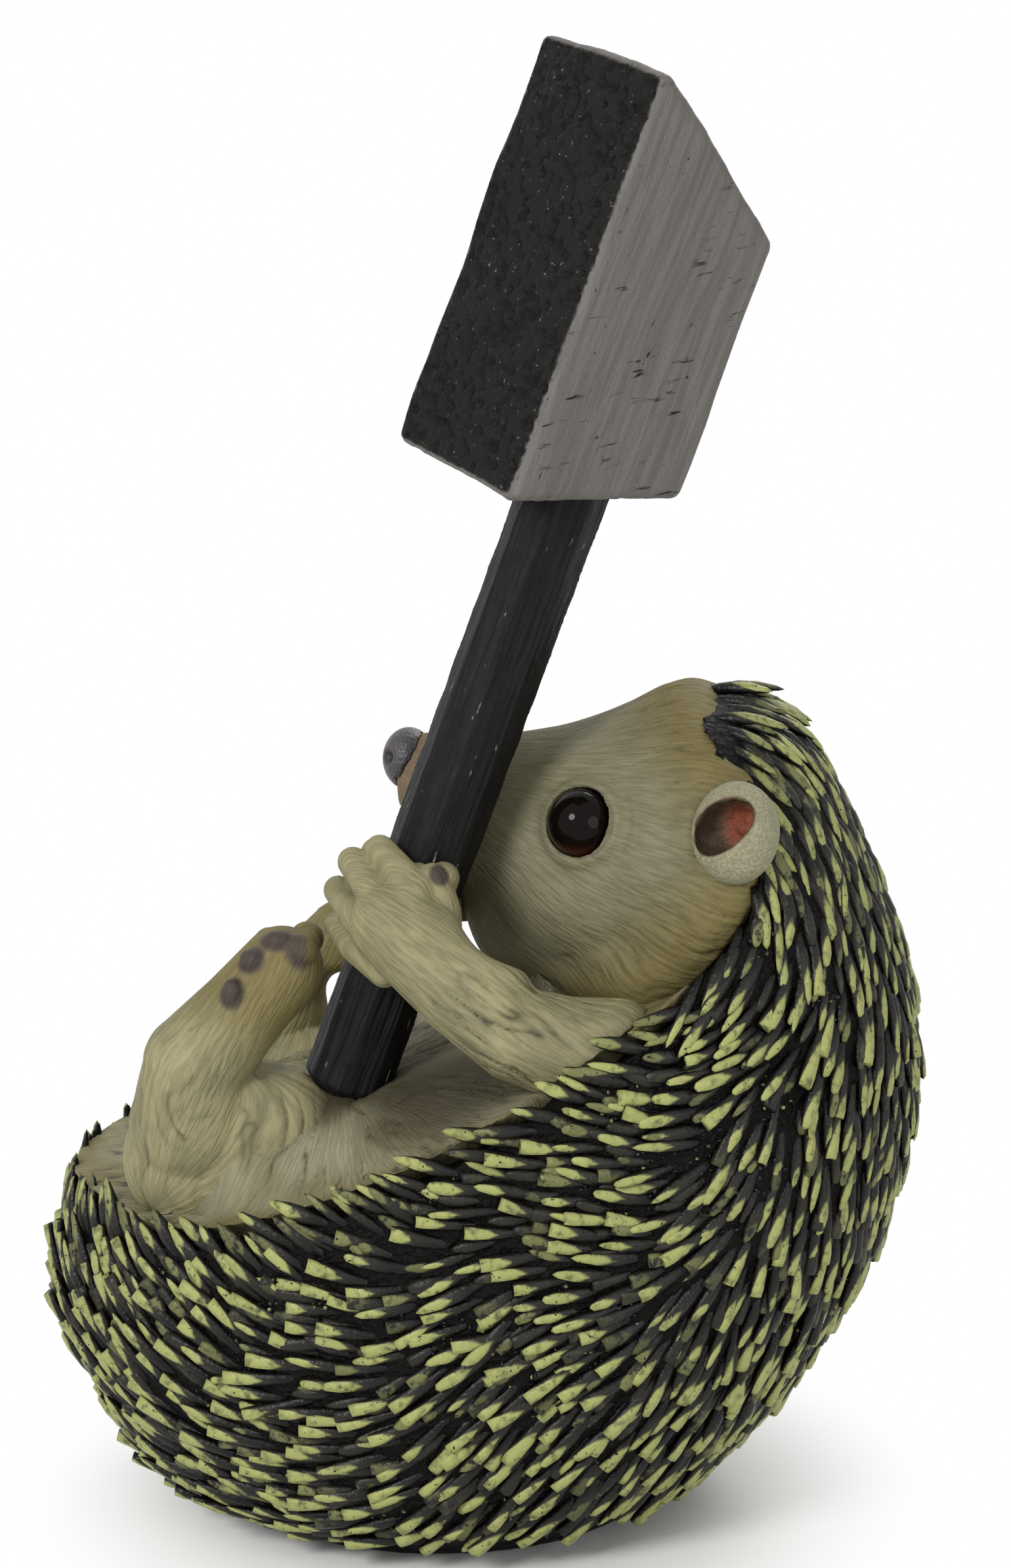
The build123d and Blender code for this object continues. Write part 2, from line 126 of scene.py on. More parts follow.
class HedgehogColours(bpy.types.PropertyGroup):
    """Paint colours of the ornament."""
    face: colour_property("Face", "Main paint of the face", "#757157")
    face_pale: colour_property("Pale face", "Paler patches of the face", "#807c64")
    fur: colour_property("Fur", "Main paint of the fur", "#807b5f")
    fur_pale: colour_property("Pale fur", "Dry-brushed crests of the fur", "#97937a")
    # Wash: the dark wash in the grooves, also used as painted shade in creases, round the stick's foot
    # and under the arm
    fur_wash_and_shade: colour_property("Wash", "Dark wash in the grooves", "#332c20")
    fur_tan: colour_property("Tan", "Olive tan along the coat", "#74683e")
    fur_pink: colour_property("Pink", "Pink brown on the muzzle and in the ear", "#8a4a36")
    paw: colour_property("Paw", "Yellowish cream of the paws", "#9a9370")
    pad: colour_property("Pad", "Dark pads and nails", "#453b3c")
    quill_tip: colour_property("Quill tip", "Pale yellow green of the quills", "#9fa264")
    quill_fade: colour_property("Quill fade", "Dusty grey between root and tip", "#23221d")
    quill_root: colour_property("Quill root", "Dark grey root of the quills", "#0c0b0a")
    # Skin: the near black of the coat, also used as painted shade on the quills, in the nostrils and
    # in the pits of the mallet's face
    skin: colour_property("Skin", "Near black ground between the quills", "#0a0908")
    eye: colour_property("Eye", "Dark glass of the eye", "#0d0907")
    # Eye glow: painted light, as light through the glass falls on its lower edge
    eye_painted_glow: colour_property("Eye glow", "Brown lower edge of the eye", "#3a1c10")
    nose: colour_property("Nose", "Slate grey of the nose", "#33373a")
    stick: colour_property("Stick", "Charcoal of the mallet stick", "#181718")
    block_face: colour_property("Block face", "Near black striking face", "#100f0c")
    block_side: colour_property("Block side", "Warm grey sides of the block", "#726e6b")


# Mesh helpers

def points_of(mesh):
    flat = np.empty(len(mesh.vertices) * 3, np.float32)
    mesh.vertices.foreach_get("co", flat)
    return flat.reshape(-1, 3).astype(float)


def normals_of(mesh):
    flat = np.empty(len(mesh.vertices) * 3, np.float32)
    mesh.vertex_normals.foreach_get("vector", flat)
    return flat.reshape(-1, 3).astype(float)


def move_points(mesh, points):
    mesh.vertices.foreach_set("co", points.astype(np.float32).ravel())
    mesh.update()


def keep_mask(mesh, name, values):
    """Stores one number for each point, for the paint to read."""
    mesh.attributes.new(name, "FLOAT", "POINT").data.foreach_set(
        "value", np.asarray(values, np.float32))


def keep_vectors(mesh, name, vectors):
    """Stores one vector for each point, for a pattern that follows the surface."""
    mesh.attributes.new(name, "FLOAT_VECTOR", "POINT").data.foreach_set(
        "vector", np.asarray(vectors, np.float32).ravel())


def raise_points(mesh, heights):
    """Moves each point out along its normal by its height, or in where that is below 0."""
    move_points(mesh, points_of(mesh) + normals_of(mesh) * np.reshape(heights, (-1, 1)))


def mesh_of(bm, name):
    """Mesh with the shape of bm, which is freed."""
    mesh = bpy.data.meshes.new(name)
    bm.to_mesh(mesh)
    bm.free()
    return mesh


def in_scene(name, data):
    """New object of the scene."""
    thing = bpy.data.objects.new(name, data)
    bpy.context.scene.collection.objects.link(thing)
    return thing


# Points nearer to each other than this are merged
MERGE_DISTANCE = 0.001 * MM


def node_shape(name):
    """Merged copy of a CAD node to model on."""
    bm = bmesh.new()
    bm.from_mesh(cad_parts[name].data)
    bmesh.ops.remove_doubles(bm, verts=bm.verts, dist=MERGE_DISTANCE)
    return bm


def evaluated_mesh(bm, name, kind, settings):
    """Mesh of bm after one modifier with its settings."""
    helper = in_scene(name, mesh_of(bm, name))
    modifier = helper.modifiers.new(kind, kind)
    for key, value in settings.items():
        setattr(modifier, key, value)
    bpy.context.view_layer.update()
    depsgraph = bpy.context.evaluated_depsgraph_get()
    mesh = bpy.data.meshes.new_from_object(helper.evaluated_get(depsgraph))
    bpy.data.objects.remove(helper)
    mesh.materials.clear()
    return mesh


def voxel_skin(bm, name, voxel):
    """One closed smooth skin of even quads round everything in bm."""
    mesh = evaluated_mesh(bm, name, "REMESH", {"mode": "VOXEL", "voxel_size": voxel})
    mesh.shade_smooth()
    return mesh


def neighbour_mean(mesh, values):
    """Mean of a value of the points that each point is joined to."""
    count = len(mesh.vertices)
    edges = np.empty(len(mesh.edges) * 2, np.int32)
    mesh.edges.foreach_get("vertices", edges)
    first, second = edges.reshape(-1, 2).T
    degree = np.maximum(np.bincount(edges, minlength=count), 1)
    total = np.bincount(first, values[second], count) + np.bincount(second, values[first], count)
    return total / degree


def relax(mesh, steps, shrink=0.5, swell=-0.52):
    """Evens a skin out in pairs of a smoothing and a swelling step, which keeps its volume."""
    points = points_of(mesh)
    for amount in [shrink, swell] * steps:
        for axis in range(3):
            values = points[:, axis]
            points[:, axis] = values + amount * (neighbour_mean(mesh, values) - values)
    move_points(mesh, points)


def creases(mesh, steps, depth):
    """How deep each point lies in a crease, as a share of a depth in metres."""
    points = points_of(mesh)
    smooth = points.copy()
    for _ in range(steps):
        smooth = np.stack([neighbour_mean(mesh, smooth[:, axis]) for axis in range(3)], axis=1)
    inside = np.sum((smooth - points) * normals_of(mesh), axis=1)
    return np.clip(inside / depth, 0, 1)


# Subdivisions of a ball, and in mm the distance between the balls of a finger or toe and how far
# they may run past its end
BALL_DETAIL = 4
BALL_STEP = 0.7
BALL_END = 0.5


def add_ball(bm, centre, radii, axes=None):
    """Adds a closed ellipsoid, in mm, whose radii run along the rows of axes."""
    turn = Matrix.Identity(3) if axes is None else Matrix(axes).transposed()
    stretch = Matrix.Diagonal(Vector(radii) * MM)
    place = Matrix.Translation(Vector(centre) * MM) @ (turn @ stretch).to_4x4()
    bmesh.ops.create_icosphere(bm, subdivisions=BALL_DETAIL, radius=1, matrix=place)


def add_digit(bm, points, radii):
    """Adds a finger or toe as balls close together along points, in mm."""
    points, radii = np.array(points, float), np.array(radii, float)
    run = np.concatenate([[0], np.cumsum(np.linalg.norm(np.diff(points, axis=0), axis=1))])
    for place in np.arange(0, run[-1] + BALL_END, BALL_STEP):
        centre = [np.interp(place, run, points[:, axis]) for axis in range(3)]
        add_ball(bm, centre, [np.interp(place, run, radii)] * 3)


def add_piece(name, mesh, material, slot, *nodes):
    """Puts a finished mesh in the scene as a piece of the ornament."""
    piece = in_scene(name, mesh)
    mesh.materials.append(material)
    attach(piece, BODY)
    if nodes:
        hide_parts(*nodes)


# Number helpers

# Whole numbers that scramble the cell of a noise into its random value
CELL_FACTORS = (73856093, 19349663, 83492791)
SEED_FACTOR = 2654435
SCRAMBLE_FACTOR = 1274126177
ALL_BITS = 0xFFFFFFFF
LOW_BITS = 0xFFFF
# Least share and least length in metres that anything is divided by
LEAST_SHARE = 0.01
LEAST_LENGTH = 1e-6


def smooth_step(values, low, high):
    """Share of the way from low to high, with soft ends."""
    share = np.clip((values - low) / (high - low), 0, 1)
    return share * share * (3 - 2 * share)


def millimetres(values):
    """A range given in mm, in metres."""
    return [value * MM for value in values]


def fading(distance, strength, start, end):
    """Strength of something that sets in over the distances from start to end, in mm."""
    return strength * smooth_step(distance, start * MM, end * MM)


def noise(places, seed):
    """Smooth random values from -1 to 1 that change over a distance of 1."""
    corner = np.floor(places).astype(np.int64)
    share = places - corner
    share = share * share * (3 - 2 * share)
    total = np.zeros(len(places))
    for offset in itertools.product((0, 1), repeat=3):
        cell = (corner + offset) * CELL_FACTORS
        key = cell[:, 0] ^ cell[:, 1] ^ cell[:, 2] ^ seed * SEED_FACTOR
        key = (key ^ (key >> 13)) * SCRAMBLE_FACTOR & ALL_BITS
        key = key ^ (key >> 16)
        weight = np.prod(np.where(offset, share, 1 - share), axis=1)
        total += weight * ((key & LOW_BITS) / (LOW_BITS / 2) - 1)
    return total


def rounds(places, seed, octaves=3):
    """Sum of noises, each twice as fine and half as strong as the one before."""
    return sum(noise(places * 2 ** i, seed + i) / 2 ** i for i in range(octaves))


def round_axis(points, start, end):
    """Turn about the line from start to end, in mm, and distance along it and from it."""
    start, end = np.array(start) * MM, np.array(end) * MM
    axis = (end - start) / np.linalg.norm(end - start)
    side = np.cross(axis, (0, 1, 0))
    side /= np.linalg.norm(side)
    other = np.cross(axis, side)
    offset = points - start
    along = offset @ axis
    far = np.linalg.norm(offset - along[:, None] * axis, axis=1)
    return np.arctan2(offset @ other, offset @ side), along, far


# Fur

# Distance in the noise between the strands of one count and of the next
COUNT_SHIFT = 31.7
# The two sizes of groove in the fur: length for a width of 1, how narrow they are, width and length
# of the patches where they show, range over which a patch fades, what they sink the skin and darken
# the paint by, and what they add to the seed
LOCKS = {"length": 6.5, "narrow": 7, "patch": (1.7, 2.2), "fade": (-0.3, 0.3), "sink": 0.8,
         "dark": 0.8, "seeds": (0, 23)}
HAIRS = {"length": 8.0, "narrow": 5, "patch": (2.0, 3.5), "fade": (-0.4, 0.3), "sink": 0.35,
         "dark": 0.45, "seeds": (9, 31)}
# Sway of the fur to both sides: distance over which it changes, its width, the least radius that it
# reckons with, and what it adds to the seed
SWAY_LENGTH = 8 * MM
SWAY_WIDTH = 2.2 * MM
SWAY_RADIUS = 3 * MM
SWAY_SEED = 50


def strands(turn, run, radius, spacing, stretch, seed):
    """Random values that hold along the fur and change across it about every spacing.

    The count of strands doubles where the skin widens, so that their width stays the same.
    """
    level = np.log2(np.maximum(radius, spacing) / spacing)
    base = np.floor(level)
    total = np.zeros(len(turn))
    for step, weight in ((0, 1 - (level - base)), (1, level - base)):
        ring = 2.0 ** (base + step)
        places = np.stack(
            [np.cos(turn) * ring, np.sin(turn) * ring,
             run / (spacing * stretch) + COUNT_SHIFT * (base + step)], axis=1)
        total += weight * noise(places, seed)
    return total


def grooves(kind, lane, run, radius, width, seed):
    """How deep each point lies in one kind of groove, about width apart, as 0 to 1."""
    line_seed, patch_seed = kind["seeds"]
    across, along = kind["patch"]
    lines = strands(lane, run, radius, width, kind["length"], seed + line_seed)
    patches = strands(lane, run, radius, across * width, along, seed + patch_seed)
    return np.exp(-np.abs(lines) * kind["narrow"]) * smooth_step(patches, *kind["fade"])


def carve_fur(mesh, turn, run, radius, lock, hair, depth, seed, wave=1.0):
    """Presses the grooves of the fur into a skin and returns how dark each point's groove is."""
    sway = rounds(points_of(mesh) / SWAY_LENGTH, seed + SWAY_SEED, 2) * wave * SWAY_WIDTH
    lane = turn + sway / np.maximum(radius, SWAY_RADIUS)
    locks = grooves(LOCKS, lane, run, radius, lock, seed)
    hairs = grooves(HAIRS, lane, run, radius, hair, seed)
    raise_points(mesh, -depth * (LOCKS["sink"] * locks + HAIRS["sink"] * hairs))
    return np.clip(LOCKS["dark"] * locks + HAIRS["dark"] * hairs, 0, 1)


def swell(mesh, centre, radii, height):
    """Pushes the skin out, or in if height is below 0, by up to height round centre, all in mm."""
    far = np.linalg.norm((points_of(mesh) - np.array(centre) * MM) / (np.array(radii) * MM), axis=1)
    raise_points(mesh, np.clip(1 - far ** 2, 0, 1) ** 2 * height * MM)


def far_from(points, place):
    """Distance of points in metres from a place in mm."""
    return np.linalg.norm(points - np.array(place) * MM, axis=1)


# The coat's shape, as in the CAD model, in metres

# Steps of the smooth curves between two given rings, and between two given points of the rim
RING_STEPS = 6
RIM_STEPS = 8
# Height and turn by which two places on the coat differ to find its slope between them
SLOPE_HEIGHT = 0.4 * MM
SLOPE_TURN = 0.01


def spline_rows(rows, step_count):
    """Rows of a smooth curve through given rows, with step_count steps between two of them."""
    rows = np.array(rows, float)
    padded = np.vstack([2 * rows[0] - rows[1], rows, 2 * rows[-1] - rows[-2]])
    out = []
    for i in range(len(rows) - 1):
        a, b, c, d = padded[i:i + 4]
        for t in np.linspace(0, 1, step_count, endpoint=False):
            out.append(0.5 * (2 * b + (c - a) * t + (2 * a - 5 * b + 4 * c - d) * t ** 2
                              + (3 * b - a - 3 * c + d) * t ** 3))
    out.append(rows[-1])
    return np.array(out)


RINGS = spline_rows(COAT_RINGS, RING_STEPS) * MM
RIM = spline_rows(RIM_LINE, RIM_STEPS) * MM
# Part of the rim from the tail up to the head
LOW_RIM = RIM[:6 * RIM_STEPS + 2]


def ring_at(height):
    """Middle, half length and half width of the coat at heights."""
    return [np.interp(height, RINGS[:, 0], RINGS[:, i]) for i in (1, 2, 3)]


def coat_point(height, turn):
    middle, half_length, half_width = ring_at(height)
    return np.stack([middle + half_length * np.cos(turn), half_width * np.sin(turn),
                     height + 0 * turn], axis=1)


def coat_normal(height, turn):
    up = coat_point(height + SLOPE_HEIGHT, turn) - coat_point(height - SLOPE_HEIGHT, turn)
    round_it = coat_point(height, turn + SLOPE_TURN) - coat_point(height, turn - SLOPE_TURN)
    normal = np.cross(round_it, up)
    return normal / np.linalg.norm(normal, axis=1)[:, None]


def quill_flow(points, normals):
    """Direction along the coat that its quills lie in, blended from QUILL_LEAN."""
    lean = np.array(QUILL_LEAN, float)
    far = points[:, (0, 2)][:, None] / MM - lean[:, :2]
    weight = (np.sum(far ** 2, axis=2) + LEAN_BLEND ** 2) ** -2.0
    turn = np.radians(lean[:, 2])
    flow = weight @ np.stack([np.cos(turn), 0 * turn, np.sin(turn)], axis=1)
    flow -= normals * np.sum(flow * normals, axis=1)[:, None]
    return flow / np.linalg.norm(flow, axis=1)[:, None]


def rim_distance(points):
    """Distance from the rim in side view, above 0 in front of it, where the fur is."""
    place = points[:, (0, 2)]
    best = np.full(len(points), np.inf)
    sign = np.ones(len(points))
    for start, end in zip(RIM, RIM[1:]):
        run = end - start
        share = np.clip((place - start) @ run / (run @ run), 0, 1)
        offset = place - start - share[:, None] * run
        far = np.linalg.norm(offset, axis=1)
        side = run[0] * offset[:, 1] - run[1] * offset[:, 0]
        sign = np.where(far < best, np.sign(side), sign)
        best = np.minimum(best, far)
    return best * sign


def coat_share(points):
    """How far out in the coat a point lies, as 0 on its middle line and 1 on its outside."""
    middle, half_length, half_width = ring_at(points[:, 2])
    return np.hypot((points[:, 0] - middle) / half_length, points[:, 1] / half_width)


def to_middle(points, share):
    """Moves points level to share of their distance from the coat's middle line."""
    middle = ring_at(points[:, 2])[0]
    points[:, 0] = middle + (points[:, 0] - middle) * share
    points[:, 1] *= share


# Material helpers

def set_inputs(tree, node, inputs):
    """Gives each named input of a node its value or its link."""
    for key, value in inputs.items():
        if isinstance(value, bpy.types.NodeSocket):
            tree.links.new(value, node.inputs[key])
        else:
            node.inputs[key].default_value = value


def add_node(tree, kind, settings=None, inputs=None):
    """A node with its settings, and a value or a link for each input that is given."""
    node = tree.nodes.new(kind)
    for key, value in (settings or {}).items():
        setattr(node, key, value)
    set_inputs(tree, node, inputs or {})
    return node


def new_material(name):
    """Empty node material with its shader."""
    material = bpy.data.materials.new(name)
    material.use_nodes = True
    tree = material.node_tree
    tree.nodes.clear()
    shader = add_node(tree, "ShaderNodeBsdfPrincipled")
    add_node(tree, "ShaderNodeOutputMaterial", inputs={"Surface": shader.outputs[0]})
    return material, tree, shader


def worked_out(tree, operation, first, second):
    """Product, difference or the like of two numbers."""
    return add_node(tree, "ShaderNodeMath", {"operation": operation},
                    {0: first, 1: second}).outputs[0]


def seen_paths(tree):
    """1 for the rays that show the background: from the camera, off gloss and through glass."""
    paths = add_node(tree, "ShaderNodeLightPath").outputs
    seen = paths["Is Camera Ray"]
    for kind in ("Is Glossy Ray", "Is Transmission Ray"):
        seen = worked_out(tree, "MAXIMUM", seen, paths[kind])
    return seen


def rgba(colour):
    return (*colour, 1.0)


def mixed(tree, share, first, second):
    """Colour between two colours by a share."""
    first = first if isinstance(first, bpy.types.NodeSocket) else rgba(first)
    second = second if isinstance(second, bpy.types.NodeSocket) else rgba(second)
    return add_node(tree, "ShaderNodeMix", {"data_type": "RGBA"},
                    {0: share, 6: first, 7: second}).outputs[2]


def layered(tree, paint, *layers):
    """Paint under further layers, each given as its share and its colour."""
    for share, colour in layers:
        paint = mixed(tree, share, paint, colour)
    return paint


def spread(tree, value, low, high):
    """Value spread from 0 at low to 1 at high, with soft ends."""
    return add_node(tree, "ShaderNodeMapRange", {"interpolation_type": "SMOOTHSTEP"}, {
        "Value": value, "From Min": low, "From Max": high}).outputs[0]


def mask(tree, name, low=0.0, high=1.0):
    """A stored mask, spread from low to high."""
    found = add_node(tree, "ShaderNodeAttribute", {"attribute_name": name}).outputs["Fac"]
    return spread(tree, found, low, high)


def speckle(tree, grain, low, high, detail=3.0, attribute=None, stretch=(1, 1, 1), turn=0.0):
    """Noise of a grain size in mm, spread from low to high, turned about Y before its stretch."""
    if attribute:
        place = add_node(tree, "ShaderNodeAttribute", {"attribute_name": attribute})
        place = place.outputs["Vector"]
    else:
        place = add_node(tree, "ShaderNodeTexCoord").outputs["Object"]
    place = add_node(tree, "ShaderNodeMapping", None, {"Vector": place, "Rotation": (0, turn, 0)})
    place = add_node(tree, "ShaderNodeMapping", None, {"Vector": place.outputs[0], "Scale": stretch})
    found = add_node(tree, "ShaderNodeTexNoise", None, {
        "Vector": place.outputs[0], "Scale": 1 / (grain * MM), "Detail": detail})
    return spread(tree, found.outputs[0], low, high)


def bump(tree, height, distance, strength=1.0, normal=None):
    """Fine relief of a height in mm."""
    inputs = {"Height": height, "Distance": distance * MM, "Strength": strength}
    if normal is not None:
        inputs["Normal"] = normal
    return add_node(tree, "ShaderNodeBump", None, inputs).outputs[0]


def painted_fur(name, colours, base, pale):
    """Cold-cast resin with matt acrylic paint: pale crests, a dark wash in the grooves, tan edges, and
    painted shade in creases and hollows.
    """
    material, tree, shader = new_material(name)
    hairs = speckle(tree, 0.45, 0.35, 0.7, 2.0, "strand")
    paint = mixed(tree, speckle(tree, 9.0, 0.35, 0.68), base, pale)
    paint = layered(
        tree, paint,
        (worked_out(tree, "MULTIPLY", mask(tree, "groove", 0.35, 0.0), 0.4), pale),
        (mask(tree, "tan"), colours.fur_tan),
        (mask(tree, "pink"), colours.fur_pink),
        (mask(tree, "pad"), colours.pad),
        (worked_out(tree, "MULTIPLY", hairs, 0.3), colours.fur_wash_and_shade),
        # Painted shade: the shade mask darkens creases and hollows with the wash colour
        (mask(tree, "shade"), colours.fur_wash_and_shade),
        (worked_out(tree, "MULTIPLY", mask(tree, "groove", 0.25, 1.0), 0.85), colours.fur_wash_and_shade))
    relief = bump(tree, hairs, 0.12, 0.7)
    relief = bump(tree, speckle(tree, 0.5, 0.3, 0.7), 0.05, 0.5, relief)
    set_inputs(tree, shader, {
        "Base Color": paint, "Normal": relief, "Roughness": 0.62, "Specular IOR Level": 0.2})
    return material


def painted_quills(colours):
    """The same resin, dry-brushed: thick yellow-green paint along the backs of dark quills, with
    painted shade at their roots and undersides.
    """
    material, tree, shader = new_material("dry_brushed_resin_quills")
    patchy = speckle(tree, 1.5, 0.24, 0.52)
    reached = add_node(tree, "ShaderNodeMapRange", None, {"Value": patchy, "To Min": 0.3}).outputs[0]
    covered = worked_out(tree, "MULTIPLY", mask(tree, "paint", 0.0, 0.14), mask(tree, "brushed"))
    missed = worked_out(tree, "SUBTRACT", 1.0, reached)
    brushed = worked_out(tree, "SUBTRACT", covered, missed)
    paint = mixed(tree, mask(tree, "paint", -0.4, 0.05), colours.quill_root, colours.quill_fade)
    # Painted shade on the roots and undersides of the quills, in the skin colour
    paint = layered(tree, paint, (brushed, colours.quill_tip), (mask(tree, "shade"), colours.skin),
                    (speckle(tree, 0.6, 0.66, 0.7), colours.quill_root))
    relief = bump(tree, speckle(tree, 0.8, 0.3, 0.7), 0.12, 0.6)
    set_inputs(tree, shader, {
        "Base Color": paint, "Normal": relief, "Roughness": 0.36, "Specular IOR Level": 0.22})
    return material


def grit_paint(colours):
    """Loose resin grains under glossy paint: dark, with the highest ones brushed pale."""
    material, tree, shader = new_material("glossy_resin_grit")
    paint = mixed(tree, mask(tree, "paint"), colours.skin, colours.quill_tip)
    paint = mixed(tree, speckle(tree, 0.5, 0.45, 0.6), paint, colours.quill_root)
    set_inputs(tree, shader, {"Base Color": paint, "Roughness": 0.22})
    return material


def gritty_skin(colours):
    """Near-black paint over gritty resin, with pale specks where the brush caught a grain."""
    material, tree, shader = new_material("glossy_black_resin_skin")
    paint = mixed(tree, speckle(tree, 0.8, 0.7, 0.76, 2.0), colours.skin, colours.quill_fade)
    relief = bump(tree, speckle(tree, 0.9, 0.3, 0.7), 0.35)
    set_inputs(tree, shader, {
        "Base Color": paint, "Normal": relief, "Roughness": 0.5, "Specular IOR Level": 0.1})
    return material


def eye_glass(colours):
    """Polished dark glass: a hard small highlight, and a painted brown glow of light at the lower
    edge.
    """
    material, tree, shader = new_material("polished_dark_glass")
    paint = mixed(tree, mask(tree, "glow"), colours.eye, colours.eye_painted_glow)
    set_inputs(tree, shader, {
        "Base Color": paint, "Roughness": 0.06, "IOR": 1.5, "Specular IOR Level": 0.1})
    return material


def nose_paint(colours):
    """Satin slate paint over a finely pebbled cast pad, with painted shade in the nostrils."""
    material, tree, shader = new_material("satin_slate_paint")
    paint = mixed(tree, speckle(tree, 1.2, 0.35, 0.7), colours.nose, colours.pad)
    paint = mixed(tree, mask(tree, "shade"), paint, colours.skin)
    relief = bump(tree, speckle(tree, 0.6, 0.3, 0.7), 0.1)
    set_inputs(tree, shader, {"Base Color": paint, "Normal": relief, "Roughness": 0.38})
    return material


def stick_paint(colours):
    """Charcoal paint on a cast wooden stick: long grain and pale scuffs."""
    material, tree, shader = new_material("charcoal_painted_wood_grain")
    grain = speckle(tree, 0.7, 0.35, 0.7, 3.0, "grain", (1, 1, 0.05))
    scuffs = speckle(tree, 1.0, 0.7, 0.74, 3.0, "grain", (1, 1, 0.25))
    paint = mixed(tree, grain, colours.stick, colours.skin)
    paint = mixed(tree, scuffs, paint, colours.block_side)
    set_inputs(tree, shader, {
        "Base Color": paint, "Normal": bump(tree, grain, 0.12), "Roughness": 0.5,
        "Specular IOR Level": 0.14})
    return material


def block_paint(colours):
    """Cast mallet block: brushed warm grey on its sides, grainy near black on its face, painted shade
    in its pits.
    """
    material, tree, shader = new_material("brushed_grey_and_black_cast_resin")
    brushed = speckle(tree, 1.1, 0.3, 0.7, 4.0, "grain", (1, 1, 0.08))
    cuts = speckle(tree, 0.9, 0.62, 0.7, 3.0, "grain", (0.16, 1, 1), 0.45)
    where = speckle(tree, 12.0, 0.45, 0.6, 2.0, "grain")
    marks = speckle(tree, 0.7, 0.7, 0.76, 3.0, "grain", (1, 1, 0.4), -0.2)
    side = mixed(tree, worked_out(tree, "MULTIPLY", brushed, 0.25), colours.block_side, colours.skin)
    side = layered(tree, side, (worked_out(tree, "MULTIPLY", cuts, where), colours.stick),
                   (marks, colours.stick))
    face = mixed(tree, speckle(tree, 1.0, 0.4, 0.65), colours.skin, colours.block_face)
    face = mixed(tree, speckle(tree, 0.7, 0.66, 0.75), face, colours.block_side)
    paint = layered(tree, side, (mask(tree, "face"), face), (mask(tree, "pit"), colours.skin))
    relief = bump(tree, brushed, 0.1)
    relief = bump(tree, speckle(tree, 0.6, 0.3, 0.7), 0.1, 0.6, relief)
    set_inputs(tree, shader, {
        "Base Color": paint, "Normal": relief, "Roughness": 0.6, "Specular IOR Level": 0.15})
    return material


def plain_material(name, grain, first, second, constants):
    """Material of a hidden part, with a faint speckle of a grain in mm between two colours."""
    material, tree, shader = new_material(name)
    paint = mixed(tree, speckle(tree, grain, 0.3, 0.7), linear(first), linear(second))
    set_inputs(tree, shader, {"Base Color": paint, **constants})
    return material


# Coat skin, in mm: how far it stays below the rim, the step of its mesh, its grain and the grain's
# height, how deep it lies in the solid, and the heights over which that sets in above the ground
SKIN_BELOW_RIM = 2.0
SKIN_VOXEL = 0.9
SKIN_GRAIN = 1.6
SKIN_RELIEF = 0.25
SKIN_SINK = 0.8
SKIN_SINK_START = (0.5, 3.0)
SKIN_SEED = 3
# Corners of a ring of the coat and of the plug's hole, and the hole's clearance round the plug
RING_CORNERS = 96
PLUG_CORNERS = 64
PLUG_CLEARANCE = 0.1
# Half width of the block that cuts the coat off at its rim, and how far it reaches past the tail
CUT_HALF_WIDTH = 80.0
CUT_AHEAD = 20.0


def cut_with(mesh_bm, cutter_bm):
    """Takes the shape of one closed bmesh out of another and returns the rest as a bmesh."""
    for shape in (mesh_bm, cutter_bm):
        bmesh.ops.recalc_face_normals(shape, faces=shape.faces)
    cutter = in_scene("cutter", mesh_of(cutter_bm, "cutter"))
    mesh = evaluated_mesh(mesh_bm, "cut", "BOOLEAN", {
        "operation": "DIFFERENCE", "solver": "EXACT", "object": cutter})
    bpy.data.objects.remove(cutter)
    bm = bmesh.new()
    bm.from_mesh(mesh)
    bpy.data.meshes.remove(mesh)
    return bm


def coat_body():
    """Solid of the coat without quills, up to SKIN_BELOW_RIM below its rim."""
    bm = bmesh.new()
    loops = []
    for height, middle, half_length, half_width in RINGS:
        place = Matrix.Translation((middle, 0, height)) @ Matrix.Diagonal(
            (half_length, half_width, 1, 1))
        made = bmesh.ops.create_circle(bm, segments=RING_CORNERS, radius=1, matrix=place)
        loops.append(set(made["verts"]))
    bm.edges.ensure_lookup_table()
    for low, high in zip(loops, loops[1:]):
        edges = [e for e in bm.edges if set(e.verts) <= low or set(e.verts) <= high]
        edges = [e for e in edges if len(e.link_faces) < 2]
        bmesh.ops.bridge_loops(bm, edges=edges)
    bmesh.ops.holes_fill(bm, edges=[e for e in bm.edges if e.is_boundary], sides=0)
    cutter = bmesh.new()
    outline = [(x, z - SKIN_BELOW_RIM * MM) for x, z in RIM]
    outline.append((RIM[0][0] - CUT_AHEAD * MM, RIM[-1][1]))
    face = cutter.faces.new([cutter.verts.new((x, -CUT_HALF_WIDTH * MM, z)) for x, z in outline])
    made = bmesh.ops.extrude_face_region(cutter, geom=[face])
    far_side = [v for v in made["geom"] if isinstance(v, bmesh.types.BMVert)]
    bmesh.ops.translate(cutter, verts=far_side, vec=(0, 2 * CUT_HALF_WIDTH * MM, 0))
    return cut_with(bm, cutter)


def plug_seat():
    """Round block that leaves the hole for the base plug."""
    low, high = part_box("base_plug")
    radius = (high.x - low.x) / 2 + PLUG_CLEARANCE * MM
    bm = bmesh.new()
    place = Matrix.Translation(((low.x + high.x) / 2, 0, 0))
    bmesh.ops.create_cone(bm, cap_ends=True, segments=PLUG_CORNERS, radius1=radius,
                          radius2=radius, depth=2 * high.z, matrix=place)
    return bm


